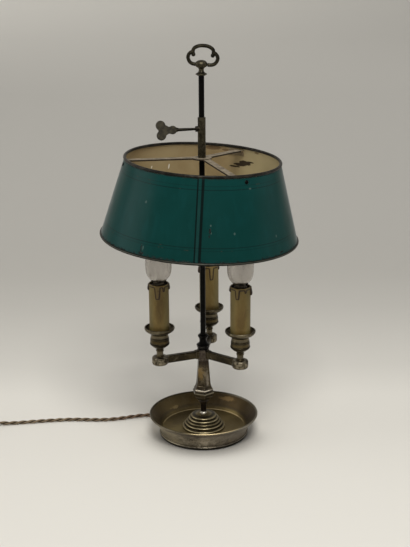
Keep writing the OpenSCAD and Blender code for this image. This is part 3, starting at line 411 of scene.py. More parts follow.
def dish_tones(look, colour):
    """Inside, the dish has lost its silver. Outside it has painted shade to the right and painted light to
    the left, with a black foot.
    """
    distance, away = radial(look)
    x, _, height = look.parts(look.place)
    faces_in = look.math("SUBTRACT", look.math("MULTIPLY", look.up(), 0.9), away)
    inside = look.between(faces_in, -0.15, 0.35)
    # Painted shade: the outside is duller and darker to the right.
    shaded_right = look.mix(0.5, colour, (0.085, 0.068, 0.056))
    colour = look.mix(look.between(x, 5 * MM, 45 * MM), colour, shaded_right)
    # Painted light: the outside is paler and yellower to the left.
    lit_left = look.mix(0.40, colour, (0.48, 0.42, 0.27))
    colour = look.mix(look.between(x, -20 * MM, -45 * MM), colour, lit_left)
    colour = look.tinted(colour, inside, 0.93, dish_inside(look, distance))
    below_rim = look.both(look.within(height, DISH_TOP_Z - 7 * MM, DISH_TOP_Z - 3 * MM, 1 * MM),
                          look.between(away, 0.2, 0.6))
    colour = look.tinted(colour, below_rim, 0.55, (0.090, 0.060, 0.050))
    foot = look.between(height, 4.6 * MM, 3.1 * MM)
    colour = look.tinted(colour, foot, 0.94, (0.010, 0.008, 0.005))
    return dish_rim(look, colour, distance)


def mound_tones(look, colour):
    """Each turned ring has a painted highlight on top and painted shade in a dark line above it, and the
    crown has a painted highlight.
    """
    height = look.parts(look.place)[2]
    for ring, share in MOUND_RINGS:
        at = MOUND_FOOT_Z + ring * MM
        # Painted highlight: a bright band on top of each ring.
        rubbed_and_lit = look.within(height, at + 0.1 * MM, at + 1.2 * MM, 0.3 * MM)
        colour = look.tinted(colour, rubbed_and_lit, share, (0.42, 0.35, 0.205))
        # Painted shade: a dark line in the groove above each ring.
        groove = look.within(height, at + 1.6 * MM, at + 2.6 * MM, 0.3 * MM)
        colour = look.tinted(colour, groove, 0.9, (0.010, 0.007, 0.001))
    # Painted highlight on the crown.
    crown = look.spot((0, -6.0, 31.2), (6.0, 4.0, 1.6))
    return look.tinted(colour, crown, 0.75, (0.60, 0.57, 0.49))


def stem_tones(look, colour):
    """Brass shows in a place on the stem, a right facet has a painted silver highlight, its top is darker,
    and its widest edge has a painted highlight with painted shade just under it and a painted reflection
    below that.
    """
    _, y, height = look.parts(look.place)
    brass = look.spot((-4.5, -8.5, 91.5), (4.8, 6.0, 8.5))
    colour = look.tinted(colour, brass, 0.8, (0.20, 0.132, 0.050))
    # Painted highlight: a silver streak on a right facet.
    silver = look.spot((5.8, -7.5, 83.0), (2.0, 6.0, 10.5))
    colour = look.tinted(colour, silver, 0.65, (0.27, 0.23, 0.18))
    # Darker toward the top, under the hub.
    darker_top = look.between(height, STEM_TOP_Z - 11 * MM, STEM_TOP_Z - 3 * MM)
    colour = look.tinted(colour, darker_top, 0.75, (0.025, 0.018, 0.013))
    # Painted highlight: a bright line along the widest edge in front.
    front = look.between(y, -4 * MM, -10 * MM)
    edge = look.both(look.within(height, KNOP_EDGE_Z - 0.6 * MM, KNOP_EDGE_Z + 1.4 * MM, 0.4 * MM), front)
    colour = look.tinted(colour, edge, 0.9, (0.85, 0.76, 0.60))
    # Painted reflection: a pale band further below that edge.
    shelf = look.within(height, KNOP_EDGE_Z - 6.2 * MM, KNOP_EDGE_Z - 3.2 * MM, 0.8 * MM)
    colour = look.tinted(colour, shelf, 0.80, (0.25, 0.225, 0.160))
    # Painted shade: a dark line just under the edge.
    under = look.within(height, KNOP_EDGE_Z - 3.0 * MM, KNOP_EDGE_Z - 1.2 * MM, 0.5 * MM)
    return look.tinted(colour, under, 0.7, (0.016, 0.012, 0.009))


def cup_tones(look, colour):
    """Pale bands of painted highlight on the cup's shoulder and underside, brass tone with painted
    reflection on its belly, and painted shade in its grooves.
    """
    height = look.parts(look.place)[2]
    for low, high, share, tone in CUP_BANDS:
        band = look.within(height, CUP_Z + low * MM, CUP_Z + high * MM, 0.6 * MM)
        colour = look.tinted(colour, band, share, tone)
    return colour


def arm_tones(look, colour):
    """The arms' round ends are paler than their bars."""
    distance, _ = radial(look)
    end = look.between(distance, ARM_END_R, ARM_END_R + 4 * MM)
    worn = look.between(look.noise(190, detail=4, rough=0.7, distortion=0.6, shift=8.2), 0.42, 0.60)
    return look.tinted(colour, look.both(end, worn), 0.7, (0.29, 0.25, 0.175))


def dark_metal(look, mottle, colour, depth, rounded):
    return look.set(
        Base_Color=colour, Metallic=0.9, Roughness=look.blend(mottle, 0.28, 0.5),
        Normal=look.bump(mottle, depth, rounded)
    )


def iron_look(name, worn):
    """Blackened iron, with paler edges in the given colour, partly rubbed and partly a painted highlight.
    """
    look = Look(name)
    mottle = look.noise(220, detail=5, distortion=0.5)
    colour = look.ramp(mottle, (0.35, (0.0022, 0.0019, 0.0016)), (0.62, (0.0055, 0.0049, 0.0041)),
                       (0.80, (0.017, 0.014, 0.010)))
    rounded = look.rounded(0.5 * MM)
    # Edges: partly wear and partly a painted highlight.
    colour = look.tinted(colour, look.edge(rounded), 0.7, worn)
    return dark_metal(look, mottle, colour, 0.2 * MM, rounded)


def bronze_look(name, level, dark_from=None):
    """Dark bronze. Level makes it paler or darker, and from the radius dark_from it is nearly black."""
    look = Look(name)
    mottle = look.noise(170, detail=6, rough=0.7, distortion=0.8)
    specks = look.between(look.noise(640, detail=2, shift=4.4), 0.62, 0.68)
    tones = ((0.34, (0.016, 0.013, 0.008)), (0.50, (0.050, 0.043, 0.025)), (0.68, (0.12, 0.105, 0.065)))
    colour = look.ramp(mottle, *((at, tuple(level * c for c in tone)) for at, tone in tones))
    pale = tuple(level * c for c in (0.20, 0.17, 0.11))
    colour = look.tinted(colour, specks, 0.5, pale)
    rounded = look.rounded(0.5 * MM)
    # Paler edges: partly wear and partly a painted highlight.
    colour = look.tinted(colour, look.edge(rounded), 0.45, pale)
    if dark_from:
        far = look.between(radial(look)[0], dark_from, dark_from + 0.4 * MM)
        colour = look.tinted(colour, far, 0.85, (0.008, 0.006, 0.004))
    return dark_metal(look, mottle, colour, 0.3 * MM, rounded)


# ---- Shade paint ----

# The CAD shade's lean, sideways and to the front, in degrees, round the middle of its top rim
SHADE_LEAN = 3.0
SHADE_TILT = 1.0
TOP_RIM_LOW, TOP_RIM_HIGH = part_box("top_rim")
SHADE_TOP = (TOP_RIM_LOW + TOP_RIM_HIGH) / 2
SHADE_HEIGHT = 103.6 * MM
# Direction of the folded seam in degrees, and half its width
SEAM_TURN = -91.3
SEAM_HALF = 3.2 * MM
# Where the spider's tabs begin, inside the shade
TAB_R = 96 * MM
# Fine painted rings: how far below the top rim's middle, in millimetres, and how plainly each one shows
RINGS = ((11.0, 0.35), (15.5, 0.75), (84.5, 0.75), (87.8, 0.35))
# Lost paint: direction in degrees, then drop below the top rim, half width and half height in millimetres
CHIPS = (
    (-84.4, 64.0, 1.3, 3.6), (-84.8, 70.5, 0.9, 1.6), (-124.4, 93.0, 0.9, 5.0), (-123.9, 99.5, 3.8, 2.2),
    (-36.0, 99.0, 4.0, 1.4),
)
# Pale scuffs in the paint, in the same terms
SCUFFS = (
    (-127.6, 38.0, 1.4, 1.6), (-84.0, 57.2, 1.1, 1.3), (-83.6, 66.5, 0.6, 1.2), (-123.2, 92.5, 0.7, 3.0),
    (-69.6, 67.6, 1.2, 1.6), (-39.0, 78.0, 1.3, 1.7), (-56.3, 15.2, 1.8, 1.0),
)
# Brown stains, the flaked patch and small pale marks inside, in the same terms
STAINS = ((82.0, 5.0, 12.0, 3.0), (72.0, 6.5, 5.0, 1.8), (44.0, 4.0, 4.0, 1.5))
FLAKES = ((51.5, 20.0, 6.0, 1.2), (56.5, 22.6, 9.5, 3.4), (61.0, 26.2, 9.5, 2.2), (65.5, 29.8, 8.0, 1.3))
PALE_MARKS = ((128.9, 33.5, 1.0, 2.2), (114.5, 34.5, 1.1, 3.8), (78.1, 34.0, 2.0, 1.4))


def shade_place(look):
    """Direction round the shade in radians, its radius there, and the drop below its top rim."""
    place = look.vector("SUBTRACT", look.place, tuple(SHADE_TOP))
    for axis, angle in (("Y_AXIS", -SHADE_LEAN), ("X_AXIS", -SHADE_TILT)):
        turned = look.node("ShaderNodeVectorRotate", rotation_type=axis)
        place = look.fill(turned, Vector=place, Angle=math.radians(angle)).outputs[0]
    x, y, z = look.parts(place)
    turn = look.math("ARCTAN2", y, x)
    radius = look.vector("LENGTH", look.combined(x, y, 0.0))
    return turn, radius, look.math("MULTIPLY", z, -1.0)


def marks(look, where, listed, ragged):
    """1 where the listed marks are; ragged is added to each one's edge."""
    turn, radius, drop = where
    total = None
    for direction, down, width, height in listed:
        along = look.math("MULTIPLY", look.math("SUBTRACT", turn, math.radians(direction)), radius)
        x = look.math("DIVIDE", along, width * MM)
        y = look.math("DIVIDE", look.math("SUBTRACT", drop, down * MM), height * MM)
        size = look.vector("LENGTH", look.combined(x, y, 0.0))
        one = look.between(look.math("ADD", size, ragged), 1.15, 0.85)
        total = one if total is None else look.math("MAXIMUM", total, one)
    return total


def cream_paint(look, where):
    """The shade's inside: aged cream paint with stains, flakes and small pale marks, and painted light to
    the right.
    """
    stain = look.noise(11, detail=5, distortion=0.5, shift=2.9)
    cream = look.ramp(stain, (0.34, (0.258, 0.186, 0.092)), (0.48, (0.310, 0.233, 0.120)),
                      (0.62, (0.350, 0.272, 0.147)))
    # Painted light: the inside is paler to the right.
    right = look.between(look.parts(look.place)[0], 20 * MM, 80 * MM)
    cream = look.tinted(cream, right, 0.7, (0.44, 0.375, 0.210))
    rust = look.between(look.noise(45, detail=5, distortion=1.0, shift=8.8), 0.66, 0.74)
    cream = look.tinted(cream, rust, 0.5, (0.19, 0.115, 0.055))
    ragged = look.uneven(200, 0.9)
    brown = marks(look, where, STAINS, ragged)
    cream = look.tinted(cream, brown, 0.7, (0.10, 0.055, 0.028))
    flaked = marks(look, where, FLAKES, ragged)
    cream = look.tinted(cream, flaked, 0.95, (0.020, 0.012, 0.007))
    return look.mix(marks(look, where, PALE_MARKS, 0.0), cream, (0.70, 0.66, 0.56))


def ring_lines(look, drop, green):
    """Dark painted rings, worn to tan in places."""
    ring_worn = look.noise(70, detail=3, shift=4.9)
    for ring, strength in RINGS:
        line = look.within(drop, (ring - 0.42) * MM, (ring + 0.42) * MM, 0.25 * MM)
        green = look.tinted(green, line, strength, (0.0020, 0.0075, 0.0065))
        tan = look.both(line, look.between(ring_worn, 0.60, 0.66), 0.55)
        green = look.mix(tan, green, (0.050, 0.038, 0.020))
    return green


def lost_paint(look, where, ragged):
    """1 where the paint is chipped, or rubbed off along the top and bottom edges."""
    drop = where[2]
    rub = look.noise(240, detail=4, distortion=0.4, shift=6.3)
    at_top = look.between(drop, 4.0 * MM, 1.5 * MM)
    at_bottom = look.between(drop, SHADE_HEIGHT - 5.1 * MM, SHADE_HEIGHT - 2.6 * MM)
    rubbed_and_lit = look.both(look.math("MAXIMUM", at_top, at_bottom), look.between(rub, 0.50, 0.58))
    return look.math("MAXIMUM", marks(look, where, CHIPS, ragged), rubbed_and_lit)


def seam_lines(look, where, streaks, green):
    """The folded seam: two dark lines, the right one partly painted shade, with a paler strip between them
    that is a painted highlight.
    """
    turn, radius, _ = where
    way = look.math("MULTIPLY", look.math("SUBTRACT", turn, math.radians(SEAM_TURN)), radius)
    # Painted highlight: a paler strip on the fold's left side, broken by streaks.
    strip = look.within(way, -0.6 * SEAM_HALF, 0.3 * SEAM_HALF, 0.6 * MM)
    worn = look.between(streaks, 0.30, 0.60)
    green = look.mix(look.both(strip, worn, 0.4), green, (0.014, 0.038, 0.033))
    # Dark lines along the fold's edges; the wide right one is also painted shade on that side of the fold.
    left_fold = look.within(way, -SEAM_HALF - 0.9 * MM, -SEAM_HALF + 0.9 * MM, 0.4 * MM)
    right_fold = look.within(way, SEAM_HALF - 1.7 * MM, SEAM_HALF + 1.7 * MM, 0.5 * MM)
    folds = look.math("MAXIMUM", left_fold, right_fold)
    return look.tinted(green, folds, 0.92, (0.0012, 0.0040, 0.0036))


def green_paint(look, where):
    """The outside: green paint with rings, chips and a seam. Also gives the mask of lost paint."""
    clouds = look.noise(9, detail=4, distortion=0.4)
    streaks = look.noise(90, look.stretched(0.22), detail=4, rough=0.6, shift=1.7)
    fine = look.noise(700, detail=3, shift=9.1)
    green = look.ramp(clouds, (0.35, (0.0015, 0.0270, 0.0232)), (0.65, (0.0021, 0.0335, 0.0298)))
    green = look.tinted(green, look.between(streaks, 0.48, 0.70), 0.40, (0.0030, 0.040, 0.038))
    green = ring_lines(look, where[2], green)
    ragged = look.uneven(500, 1.2, detail=3)
    lost = lost_paint(look, where, ragged)
    bare = look.ramp(fine, (0.46, (0.0022, 0.0036, 0.0034)), (0.70, (0.036, 0.044, 0.038)))
    green = look.tinted(green, lost, 0.9, bare)
    green = look.tinted(green, marks(look, where, SCUFFS, ragged), 0.5, (0.085, 0.125, 0.110))
    return seam_lines(look, where, streaks, green), lost


def shade_look():
    look = Look("shade_paint")
    where = shade_place(look)
    _, away = radial(look)
    outside = look.between(away, -0.1, 0.1)
    green, lost = green_paint(look, where)
    colour = look.mix(outside, cream_paint(look, where), green)
    haze = look.noise(40, look.stretched(0.3), detail=3, shift=7.2)
    rough = look.blend(outside, 0.65, look.blend(haze, 0.24, 0.40))
    rough = look.math("ADD", rough, look.math("MULTIPLY", look.math("MULTIPLY", lost, outside), 0.25))
    dents = look.noise(14, detail=2, shift=5.5)
    height = look.math("SUBTRACT", dents, look.math("MULTIPLY", lost, 0.10))
    return look.set(
        Base_Color=colour, Roughness=rough, Specular_IOR_Level=0.09,
        Sheen_Weight=0.14, Sheen_Roughness=0.22, Normal=look.bump(height, 1.2 * MM)
    )


def spider_look():
    look = Look("spider_paint")
    top = look.between(look.up(), 0.5, 0.9)
    _, radius, _ = shade_place(look)
    tab = look.between(radius, TAB_R, TAB_R + 1.5 * MM)
    mottle = look.noise(120, detail=6, rough=0.7, distortion=0.6)
    pale = look.ramp(mottle, (0.34, (0.075, 0.060, 0.040)), (0.50, (0.165, 0.135, 0.090)),
                     (0.66, (0.24, 0.20, 0.145)))
    # Faces other than the top are dark, partly bare metal and partly painted shade, and paler on the tabs.
    bare = look.ramp(mottle, (0.4, (0.010, 0.006, 0.003)), (0.66, (0.032, 0.020, 0.010)))
    sides = look.tinted(bare, tab, 0.75, (0.20, 0.15, 0.085))
    return look.set(
        Base_Color=look.mix(top, sides, pale), Roughness=look.blend(mottle, 0.5, 0.7),
        Specular_IOR_Level=0.25, Normal=look.bump(mottle, 0.3 * MM, look.rounded(0.4 * MM))
    )


def rim_look(name, pale, dark, band=None):
    """Rolled rim. With a band, a painted highlight of pale metal shows where the face's normal rises
    between its two values.
    """
    look = Look(name)
    mottle = look.noise(110, detail=5, rough=0.65, distortion=0.5)
    if band:
        # Painted highlight along the band, broken up by the mottle.
        strip = look.within(look.up(), *band, 0.10)
        worn = look.blend(look.between(mottle, 0.35, 0.55), 0.5, 1.0)
        colour = look.mix(look.both(strip, worn), dark, pale)
    else:
        colour = look.ramp(mottle, (0.45, dark), (0.66, pale))
    return look.set(
        Base_Color=colour, Metallic=0.6, Roughness=look.blend(mottle, 0.32, 0.5),
        Specular_IOR_Level=0.3, Normal=look.bump(mottle, 0.2 * MM)
    )


# ---- Candles and bulbs ----

# Outside and bore of a candle sleeve
SLEEVE_R = 13.5 * MM
SLEEVE_BORE_R = 12.3 * MM


def ivory_tones(look):
    """The wax and ivory colour, with painted shade in olive toward the sides, and its cloudy noise."""
    clouds = look.noise(55, look.stretched(0.35), detail=5, distortion=0.5)
    specks = look.between(look.noise(380, detail=2, shift=3.3), 0.66, 0.72)
    colour = look.ramp(clouds, (0.34, (0.112, 0.070, 0.018)), (0.50, (0.166, 0.112, 0.032)),
                       (0.66, (0.220, 0.157, 0.050)))
    # Painted shade: more olive and darker toward the sides.
    side = look.math("ABSOLUTE", look.parts(look.object_normal())[0])
    olive = look.mix(0.45, colour, (0.130, 0.113, 0.042))
    colour = look.mix(look.between(side, 0.35, 0.75), colour, olive)
    return look.tinted(colour, specks, 0.5, (0.050, 0.030, 0.012)), clouds


def sleeve_look(arm):
    """Aged ivory sleeve, with painted shadow in brown where wax and pan touch it, and painted shade inside
    its mouth.
    """
    look = Look(f"candle_ivory_{arm}")
    colour, clouds = ivory_tones(look)
    # Painted shadow: dark brown where wax, pan and other parts come close.
    dirt_and_shade = look.between(look.hollow(2.2 * MM, local=False), 0.80, 0.40)
    colour = look.tinted(colour, dirt_and_shade, 0.85, (0.030, 0.016, 0.006))
    low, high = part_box(f"candle_sleeve_{arm}")
    middle = (low + high) / 2
    x, y, _ = look.parts(look.vector("SUBTRACT", look.place, tuple(middle)))
    distance = look.vector("LENGTH", look.combined(x, y, 0.0))
    # Painted shade inside the mouth.
    mouth = look.between(distance, SLEEVE_BORE_R + 0.6 * MM, SLEEVE_BORE_R + 0.2 * MM)
    colour = look.tinted(colour, mouth, 0.97, (0.010, 0.006, 0.003))
    return look.set(Base_Color=colour, Roughness=look.blend(clouds, 0.42, 0.62),
                    Specular_IOR_Level=0.25, Normal=look.bump(clouds, 0.6 * MM))


def wax_look():
    """The drips' wax is the sleeve's, with painted shadow lines in brown round each drip."""
    look = Look("wax")
    colour, clouds = ivory_tones(look)
    outline = look.node("ShaderNodeAttribute", attribute_name="outline").outputs["Fac"]
    # Painted shadow: dark brown along the drips' edges.
    colour = look.tinted(colour, outline, 0.95, (0.020, 0.009, 0.003))
    return look.set(Base_Color=colour, Roughness=look.blend(clouds, 0.36, 0.55),
                    Specular_IOR_Level=0.3, Normal=look.bump(clouds, 0.5 * MM))


def glass_look():
    """Clear glass with faint grey clouds."""
    look = Look("bulb_glass")
    haze = look.noise(45, detail=4)
    cloudy = look.noise(130, look.stretched(0.4), detail=3, distortion=0.8, shift=4.6)
    tint = look.ramp(cloudy, (0.34, (0.68, 0.655, 0.625)), (0.52, (0.74, 0.715, 0.685)),
                     (0.68, (0.82, 0.80, 0.77)))
    return look.set(Base_Color=tint, Transmission_Weight=1.0, IOR=1.45,
                    Roughness=look.blend(haze, 0.02, 0.16))


def cap_look():
    look = Look("cap_brass")
    mottle = look.noise(200, detail=5)
    colour = look.ramp(mottle, (0.38, (0.05, 0.045, 0.037)), (0.62, (0.20, 0.185, 0.150)))
    return look.set(Base_Color=colour, Metallic=0.9, Roughness=look.blend(mottle, 0.3, 0.5),
                    Normal=look.bump(mottle, 0.2 * MM))


def mount_look():
    """Clear glass mount with pale wires."""
    look = Look("lamp_mount")
    mottle = look.noise(500, detail=2)
    colour = look.ramp(mottle, (0.3, (0.88, 0.87, 0.85)), (0.7, (0.96, 0.95, 0.93)))
    return look.set(Base_Color=colour, Transmission_Weight=0.95, IOR=1.08, Roughness=0.1)


# ---- Plain materials ----

def plain_look(name, first, second, rough, scale=120, metallic=0.0):
    """A material with two tones, for pieces that hardly show."""
    look = Look(name)
    mottle = look.noise(scale, detail=6, rough=0.65, distortion=0.6)
    return look.set(
        Base_Color=look.ramp(mottle, (0.38, first), (0.62, second)), Metallic=metallic,
        Roughness=look.blend(mottle, rough - 0.08, rough + 0.12),
        Normal=look.bump(mottle, 0.2 * MM, look.rounded(0.5 * MM))
    )


def cord_look():
    """Brown twisted textile, redder near the foot, with painted shade where its strands meet."""
    look = Look("cord_textile")
    clouds = look.noise(60, detail=4)
    threads = look.noise(1500, detail=3, rough=0.7, distortion=1.5)
    colour = look.ramp(clouds, (0.35, (0.135, 0.096, 0.056)), (0.65, (0.22, 0.168, 0.105)))
    near_foot = look.between(look.parts(look.place)[0], -170 * MM, -100 * MM)
    colour = look.tinted(colour, near_foot, 0.5, (0.15, 0.075, 0.045))
    colour = look.tinted(colour, look.between(threads, 0.5, 0.7), 0.45, (0.27, 0.205, 0.135))
    # Painted shade between the strands.
    groove = look.node("ShaderNodeAttribute", attribute_name="groove").outputs["Fac"]
    colour = look.tinted(colour, look.between(groove, -0.15, 0.35), 0.96, (0.016, 0.010, 0.006))
    return look.set(Base_Color=colour, Roughness=0.8, Specular_IOR_Level=0.2,
                    Normal=look.bump(threads, 0.4 * MM))


def tie_look():
    look = Look("tie_cloth")
    weave = look.noise(1100, look.stretched(3.0), detail=2)
    colour = look.ramp(weave, (0.4, (0.018, 0.017, 0.016)), (0.65, (0.05, 0.047, 0.044)))
    return look.set(Base_Color=colour, Roughness=0.85, Normal=look.bump(weave, 0.4 * MM))


# ---- Cord: the route's points are those of the CAD part, in millimetres ----

# Each of the two strands, how far its middle lies from the cord's, and the length of one twist
STRAND_R = 1.4 * MM
STRAND_OFF = 1.2 * MM
STRAND_SIDES = 10
STRAND_PITCH = 26 * MM
# A point of the cord's line about every so far
CORD_STEP = 1.8 * MM
LEAD_ROUTE = (
    (-53.2, 37.3, 3.8), (-62, 43, 3.6), (-72, 48, 3.2),
    (-84, 50, 3), (-97, 47.5, 3), (-109, 43.5, 3), (-121, 39.5, 3), (-134, 36.5, 3),
    (-148, 35, 3), (-163, 35.3, 3), (-178, 36.2, 3), (-193, 36.4, 3), (-208, 35.3, 3),
    (-223, 33.4, 3), (-238, 31.2, 3), (-253, 28.8, 3), (-268, 26.4, 3), (-283, 24.2, 3.4),
    (-297, 22.6, 5.3), (-306, 22, 7.2), (-314, 22, 7.5),
)
LINK_ROUTE = ((-344, 22, 7.5), (-374, 22, 7.5), (-384, 22, 6.8), (-396, 22, 5.4), (-408, 22, 4.6))
TAIL_ROUTE = ((-460, -28, 9.4), (-460, -34, 8), (-460, -39, 7.5), (-460, -43.9, 7.5), (-460, -46, 7.5))
COIL_CENTRE = Vector((-419, -19, 3.8))
COIL_RADII = (41, 35, 29)
COIL_LAYER = 6
# Turns of the coil: each stretch's first and last direction, and the radius and layer it ends at
COIL_STRETCHES = (
    (90, 400, 0, 0), (400, 445, 1, 0), (445, 760, 1, 0), (760, 805, 2, 0), (805, 965, 2, 0),
    (965, 1020, 2, 1), (1020, 1270, 2, 1), (1270, 1320, 1, 1), (1320, 1630, 1, 1),
    (1630, 1680, 0, 1), (1680, 1980, 0, 1),
)
# A point of the coil about every so many degrees
COIL_STEP = 10


def coil_points():
    """Turns inwards on the table, then outwards on top of them."""
    points = []
    radius, layer = COIL_RADII[0], 0
    for first, last, column, next_layer in COIL_STRETCHES:
        steps = max(1, round((last - first) / COIL_STEP))
        next_radius = COIL_RADII[column]
        for i in range(steps):
            t = i / steps
            ease = t * t * (3 - 2 * t)
            turn = math.radians(first + (last - first) * t)
            r = radius + (next_radius - radius) * ease
            rise = (layer + (next_layer - layer) * ease) * COIL_LAYER
            points.append(COIL_CENTRE + Vector((r * math.cos(turn), r * math.sin(turn), rise)))
        radius, layer = next_radius, next_layer
    turn = math.radians(COIL_STRETCHES[-1][1])
    points.append(COIL_CENTRE + Vector((radius * math.cos(turn), radius * math.sin(turn), COIL_LAYER)))
    return points


def cord_line():
    """The whole route's smooth line, and how far along it each point is."""
    route = [Vector(p) for p in LEAD_ROUTE + LINK_ROUTE] + coil_points()
    route += [Vector(p) for p in TAIL_ROUTE]
    line = smooth_line([p * MM for p in route], CORD_STEP)
    far = [0.0]
    for a, b in zip(line, line[1:]):
        far.append(far[-1] + (b - a).length)
    return line, far


def make_cord(look):
    line, far = cord_line()
    points, faces, grooves = [], [], []
    for phase in (0, math.pi):
        strand = []
        for i, centre in enumerate(line):
            across, above = across_line(line, i)
            turn = TAU * far[i] / STRAND_PITCH + phase
            strand.append(centre + STRAND_OFF * (math.cos(turn) * across + math.sin(turn) * above))
        strand_points, strand_faces = tube_rings(strand, STRAND_R, STRAND_SIDES)
        faces += [tuple(len(points) + i for i in face) for face in strand_faces]
        points += strand_points
        # 1 on the side of the strand that faces the cord's middle, -1 on the far side; it places the
        # painted shade between strands
        for i, point in enumerate(strand_points):
            ring = i // STRAND_SIDES
            inward = (point - strand[ring]).dot(line[ring] - strand[ring])
            grooves.append(inward / (STRAND_R * STRAND_OFF))
    cord = new_piece("cord", points, faces, look)
    attribute = cord.data.attributes.new("groove", "FLOAT", "POINT")
    attribute.data.foreach_set("value", grooves)
    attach(cord, "root")
    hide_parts("cord_run", "cord_coil")


# ---- Wax drips ----

# Drips of each candle: direction in degrees, then length, half width and thickness in millimetres
DRIPS = {
    "left": ((-95.5, 19.5, 3.9, 1.0), (-59, 9, 1.9, 0.9), (-8, 8, 3.0, 2.2), (-171, 8.5, 3.0, 2.4),
             (28, 12, 2.6, 1.2), (95, 11, 3.0, 1.2), (150, 8, 2.2, 1.2)),
    "right": ((-109, 15.5, 3.2, 1.0), (-8, 12, 3.4, 3.2), (-170, 7, 2.6, 2.2),
              (-62, 7, 1.7, 1.0), (80, 10, 2.6, 1.2), (140, 7, 2.2, 1.2)),
    "back": ((-75, 20, 3.4, 1.0), (-6, 7, 3.0, 1.8), (-176, 12, 3.2, 3.0), (-120, 7, 2.0, 1.0),
             (40, 9, 2.4, 1.2), (100, 10, 2.8, 1.2)),
}
# Height and thickness of the shoulder that all drips hang from
DRIP_LIP = 3.2 * MM
LIP_THICK = 0.5 * MM
# Columns of points round the candle and rows down the wax
DRIP_COLUMNS = 240
DRIP_ROWS = 16
COLUMN_WIDTH = TAU / DRIP_COLUMNS * SLEEVE_R
# Columns to each side that are searched for the wax's edge
EDGE_REACH = 8
# Width of the painted shadow line round a drip, for each metre of its thickness
SHADOW_LINE_WIDTH = 1.15


def drip_at(arm, turn):
    """Length and thickness of the wax in one direction: drips have a flat middle and steep sides."""
    longest = (DRIP_LIP, LIP_THICK)
    for direction, length, half, thick in DRIPS[arm]:
        off = math.remainder(turn - math.radians(direction), TAU) * SLEEVE_R / (half * MM)
        share = math.exp(-abs(off) ** 9)
        longest = max(longest, (DRIP_LIP + (length * MM - DRIP_LIP) * share,
                                LIP_THICK + (thick * MM - LIP_THICK) * share))
    return longest


def to_edge(lengths, column, drop):
    """Shortest way over the wax to its lower edge."""
    nearest = DRIP_LIP
    for k in range(-EDGE_REACH, EDGE_REACH + 1):
        here = lengths[(column + k) % DRIP_COLUMNS]
        there = lengths[(column + k + 1) % DRIP_COLUMNS]
        over = min(max(drop, min(here, there)), max(here, there))
        nearest = min(nearest, math.hypot(k * COLUMN_WIDTH, drop - over))
    return nearest


def make_drips(arm, look):
    low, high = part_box(f"candle_sleeve_{arm}")
    mouth = Vector(((low.x + high.x) / 2, (low.y + high.y) / 2, high.z))
    lengths, thick = zip(*(drip_at(arm, TAU * i / DRIP_COLUMNS) for i in range(DRIP_COLUMNS)))
    up = Vector((0, 0, 1))
    points, outline = [], []
    for i in range(DRIP_COLUMNS):
        turn = TAU * i / DRIP_COLUMNS
        out = Vector((math.cos(turn), math.sin(turn), 0))
        line_width = SHADOW_LINE_WIDTH * max(MM, thick[i])
        points.append(mouth - 1.2 * MM * up + out * (SLEEVE_BORE_R - 0.1 * MM))
        points.append(mouth + 0.35 * MM * up + out * (SLEEVE_BORE_R + 0.1 * MM))
        outline += [0.8, 0.2]
        # Rows lie closer toward the lower edge, where the wax is thickest and then rounds off
        for k in range(DRIP_ROWS + 1):
            t = 1 - (1 - k / DRIP_ROWS) ** 1.5
            bulge = thick[i] * (0.35 + 0.65 * t) * math.sqrt(max(0.0, 1 - t ** 8))
            sink = 0.15 * MM if k == DRIP_ROWS else 0
            drop = lengths[i] * t
            points.append(mouth + (0.4 * MM - drop) * up + out * (SLEEVE_R + bulge - sink))
            outline.append(min(1.0, max(0.0, 2.1 - to_edge(lengths, i, drop) / line_width)))
    rows = DRIP_ROWS + 3
    faces = []
    for i in range(DRIP_COLUMNS):
        n = (i + 1) % DRIP_COLUMNS
        for k in range(rows - 1):
            faces.append((i * rows + k, i * rows + k + 1, n * rows + k + 1, n * rows + k))
    drips = new_piece(f"wax_drips_{arm}", points, faces, look)
    attribute = drips.data.attributes.new("outline", "FLOAT", "POINT")
    attribute.data.foreach_set("value", outline)
    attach(drips, "root")


# ---- Floor, backdrop and light ----

# A paper sweep: floor, quarter circle and wall
FLOOR_FRONT = -2.2
FLOOR_BACK = 0.75
SWEEP_R = 0.8
SWEEP_STEPS = 16
BACKDROP_TOP = 3.2
BACKDROP_HALF = 3.0
# The paper's tone is painted light falloff: it goes by the way back plus WAY_RISE times the way up, from a
# first to a last way
WAY_RISE = 1.2
WAY_FIRST = -0.5
WAY_LAST = 2.5
BACKDROP_TONES = (
    (-0.30, 0.68), (0.13, 0.71), (0.25, 0.63), (0.55, 0.55), (0.94, 0.51), (1.70, 0.48), (1.95, 0.51),
    (2.10, 0.56),
)
BACKDROP_TINT = (1.0, 0.968, 0.885)
# Painted light and shade: how much darker the paper is for each metre to the right, on the floor and on
# the wall
FLOOR_FALL = -0.045
WALL_FALL = 0.215
# Name, place, target, size and watts of each lamp
LAMPS = (
    ("overhead", (0.13, -1.1, 1.85), (0, 0, 0.10), (0.85, 0.65), 33),
    ("window", (-2.1, -0.1, 1.2), (0, 0, 0.25), (1.6, 1.8), 15),
    ("fill", (2.2, 0.2, 1.1), (0, 0, 0.25), (1.6, 1.6), 4.5),
)
LAMP_COLOUR = (1, 0.985, 0.96)
WORLD_COLOUR = (0.95, 0.96, 1.0)
WORLD_LEVEL = 0.34


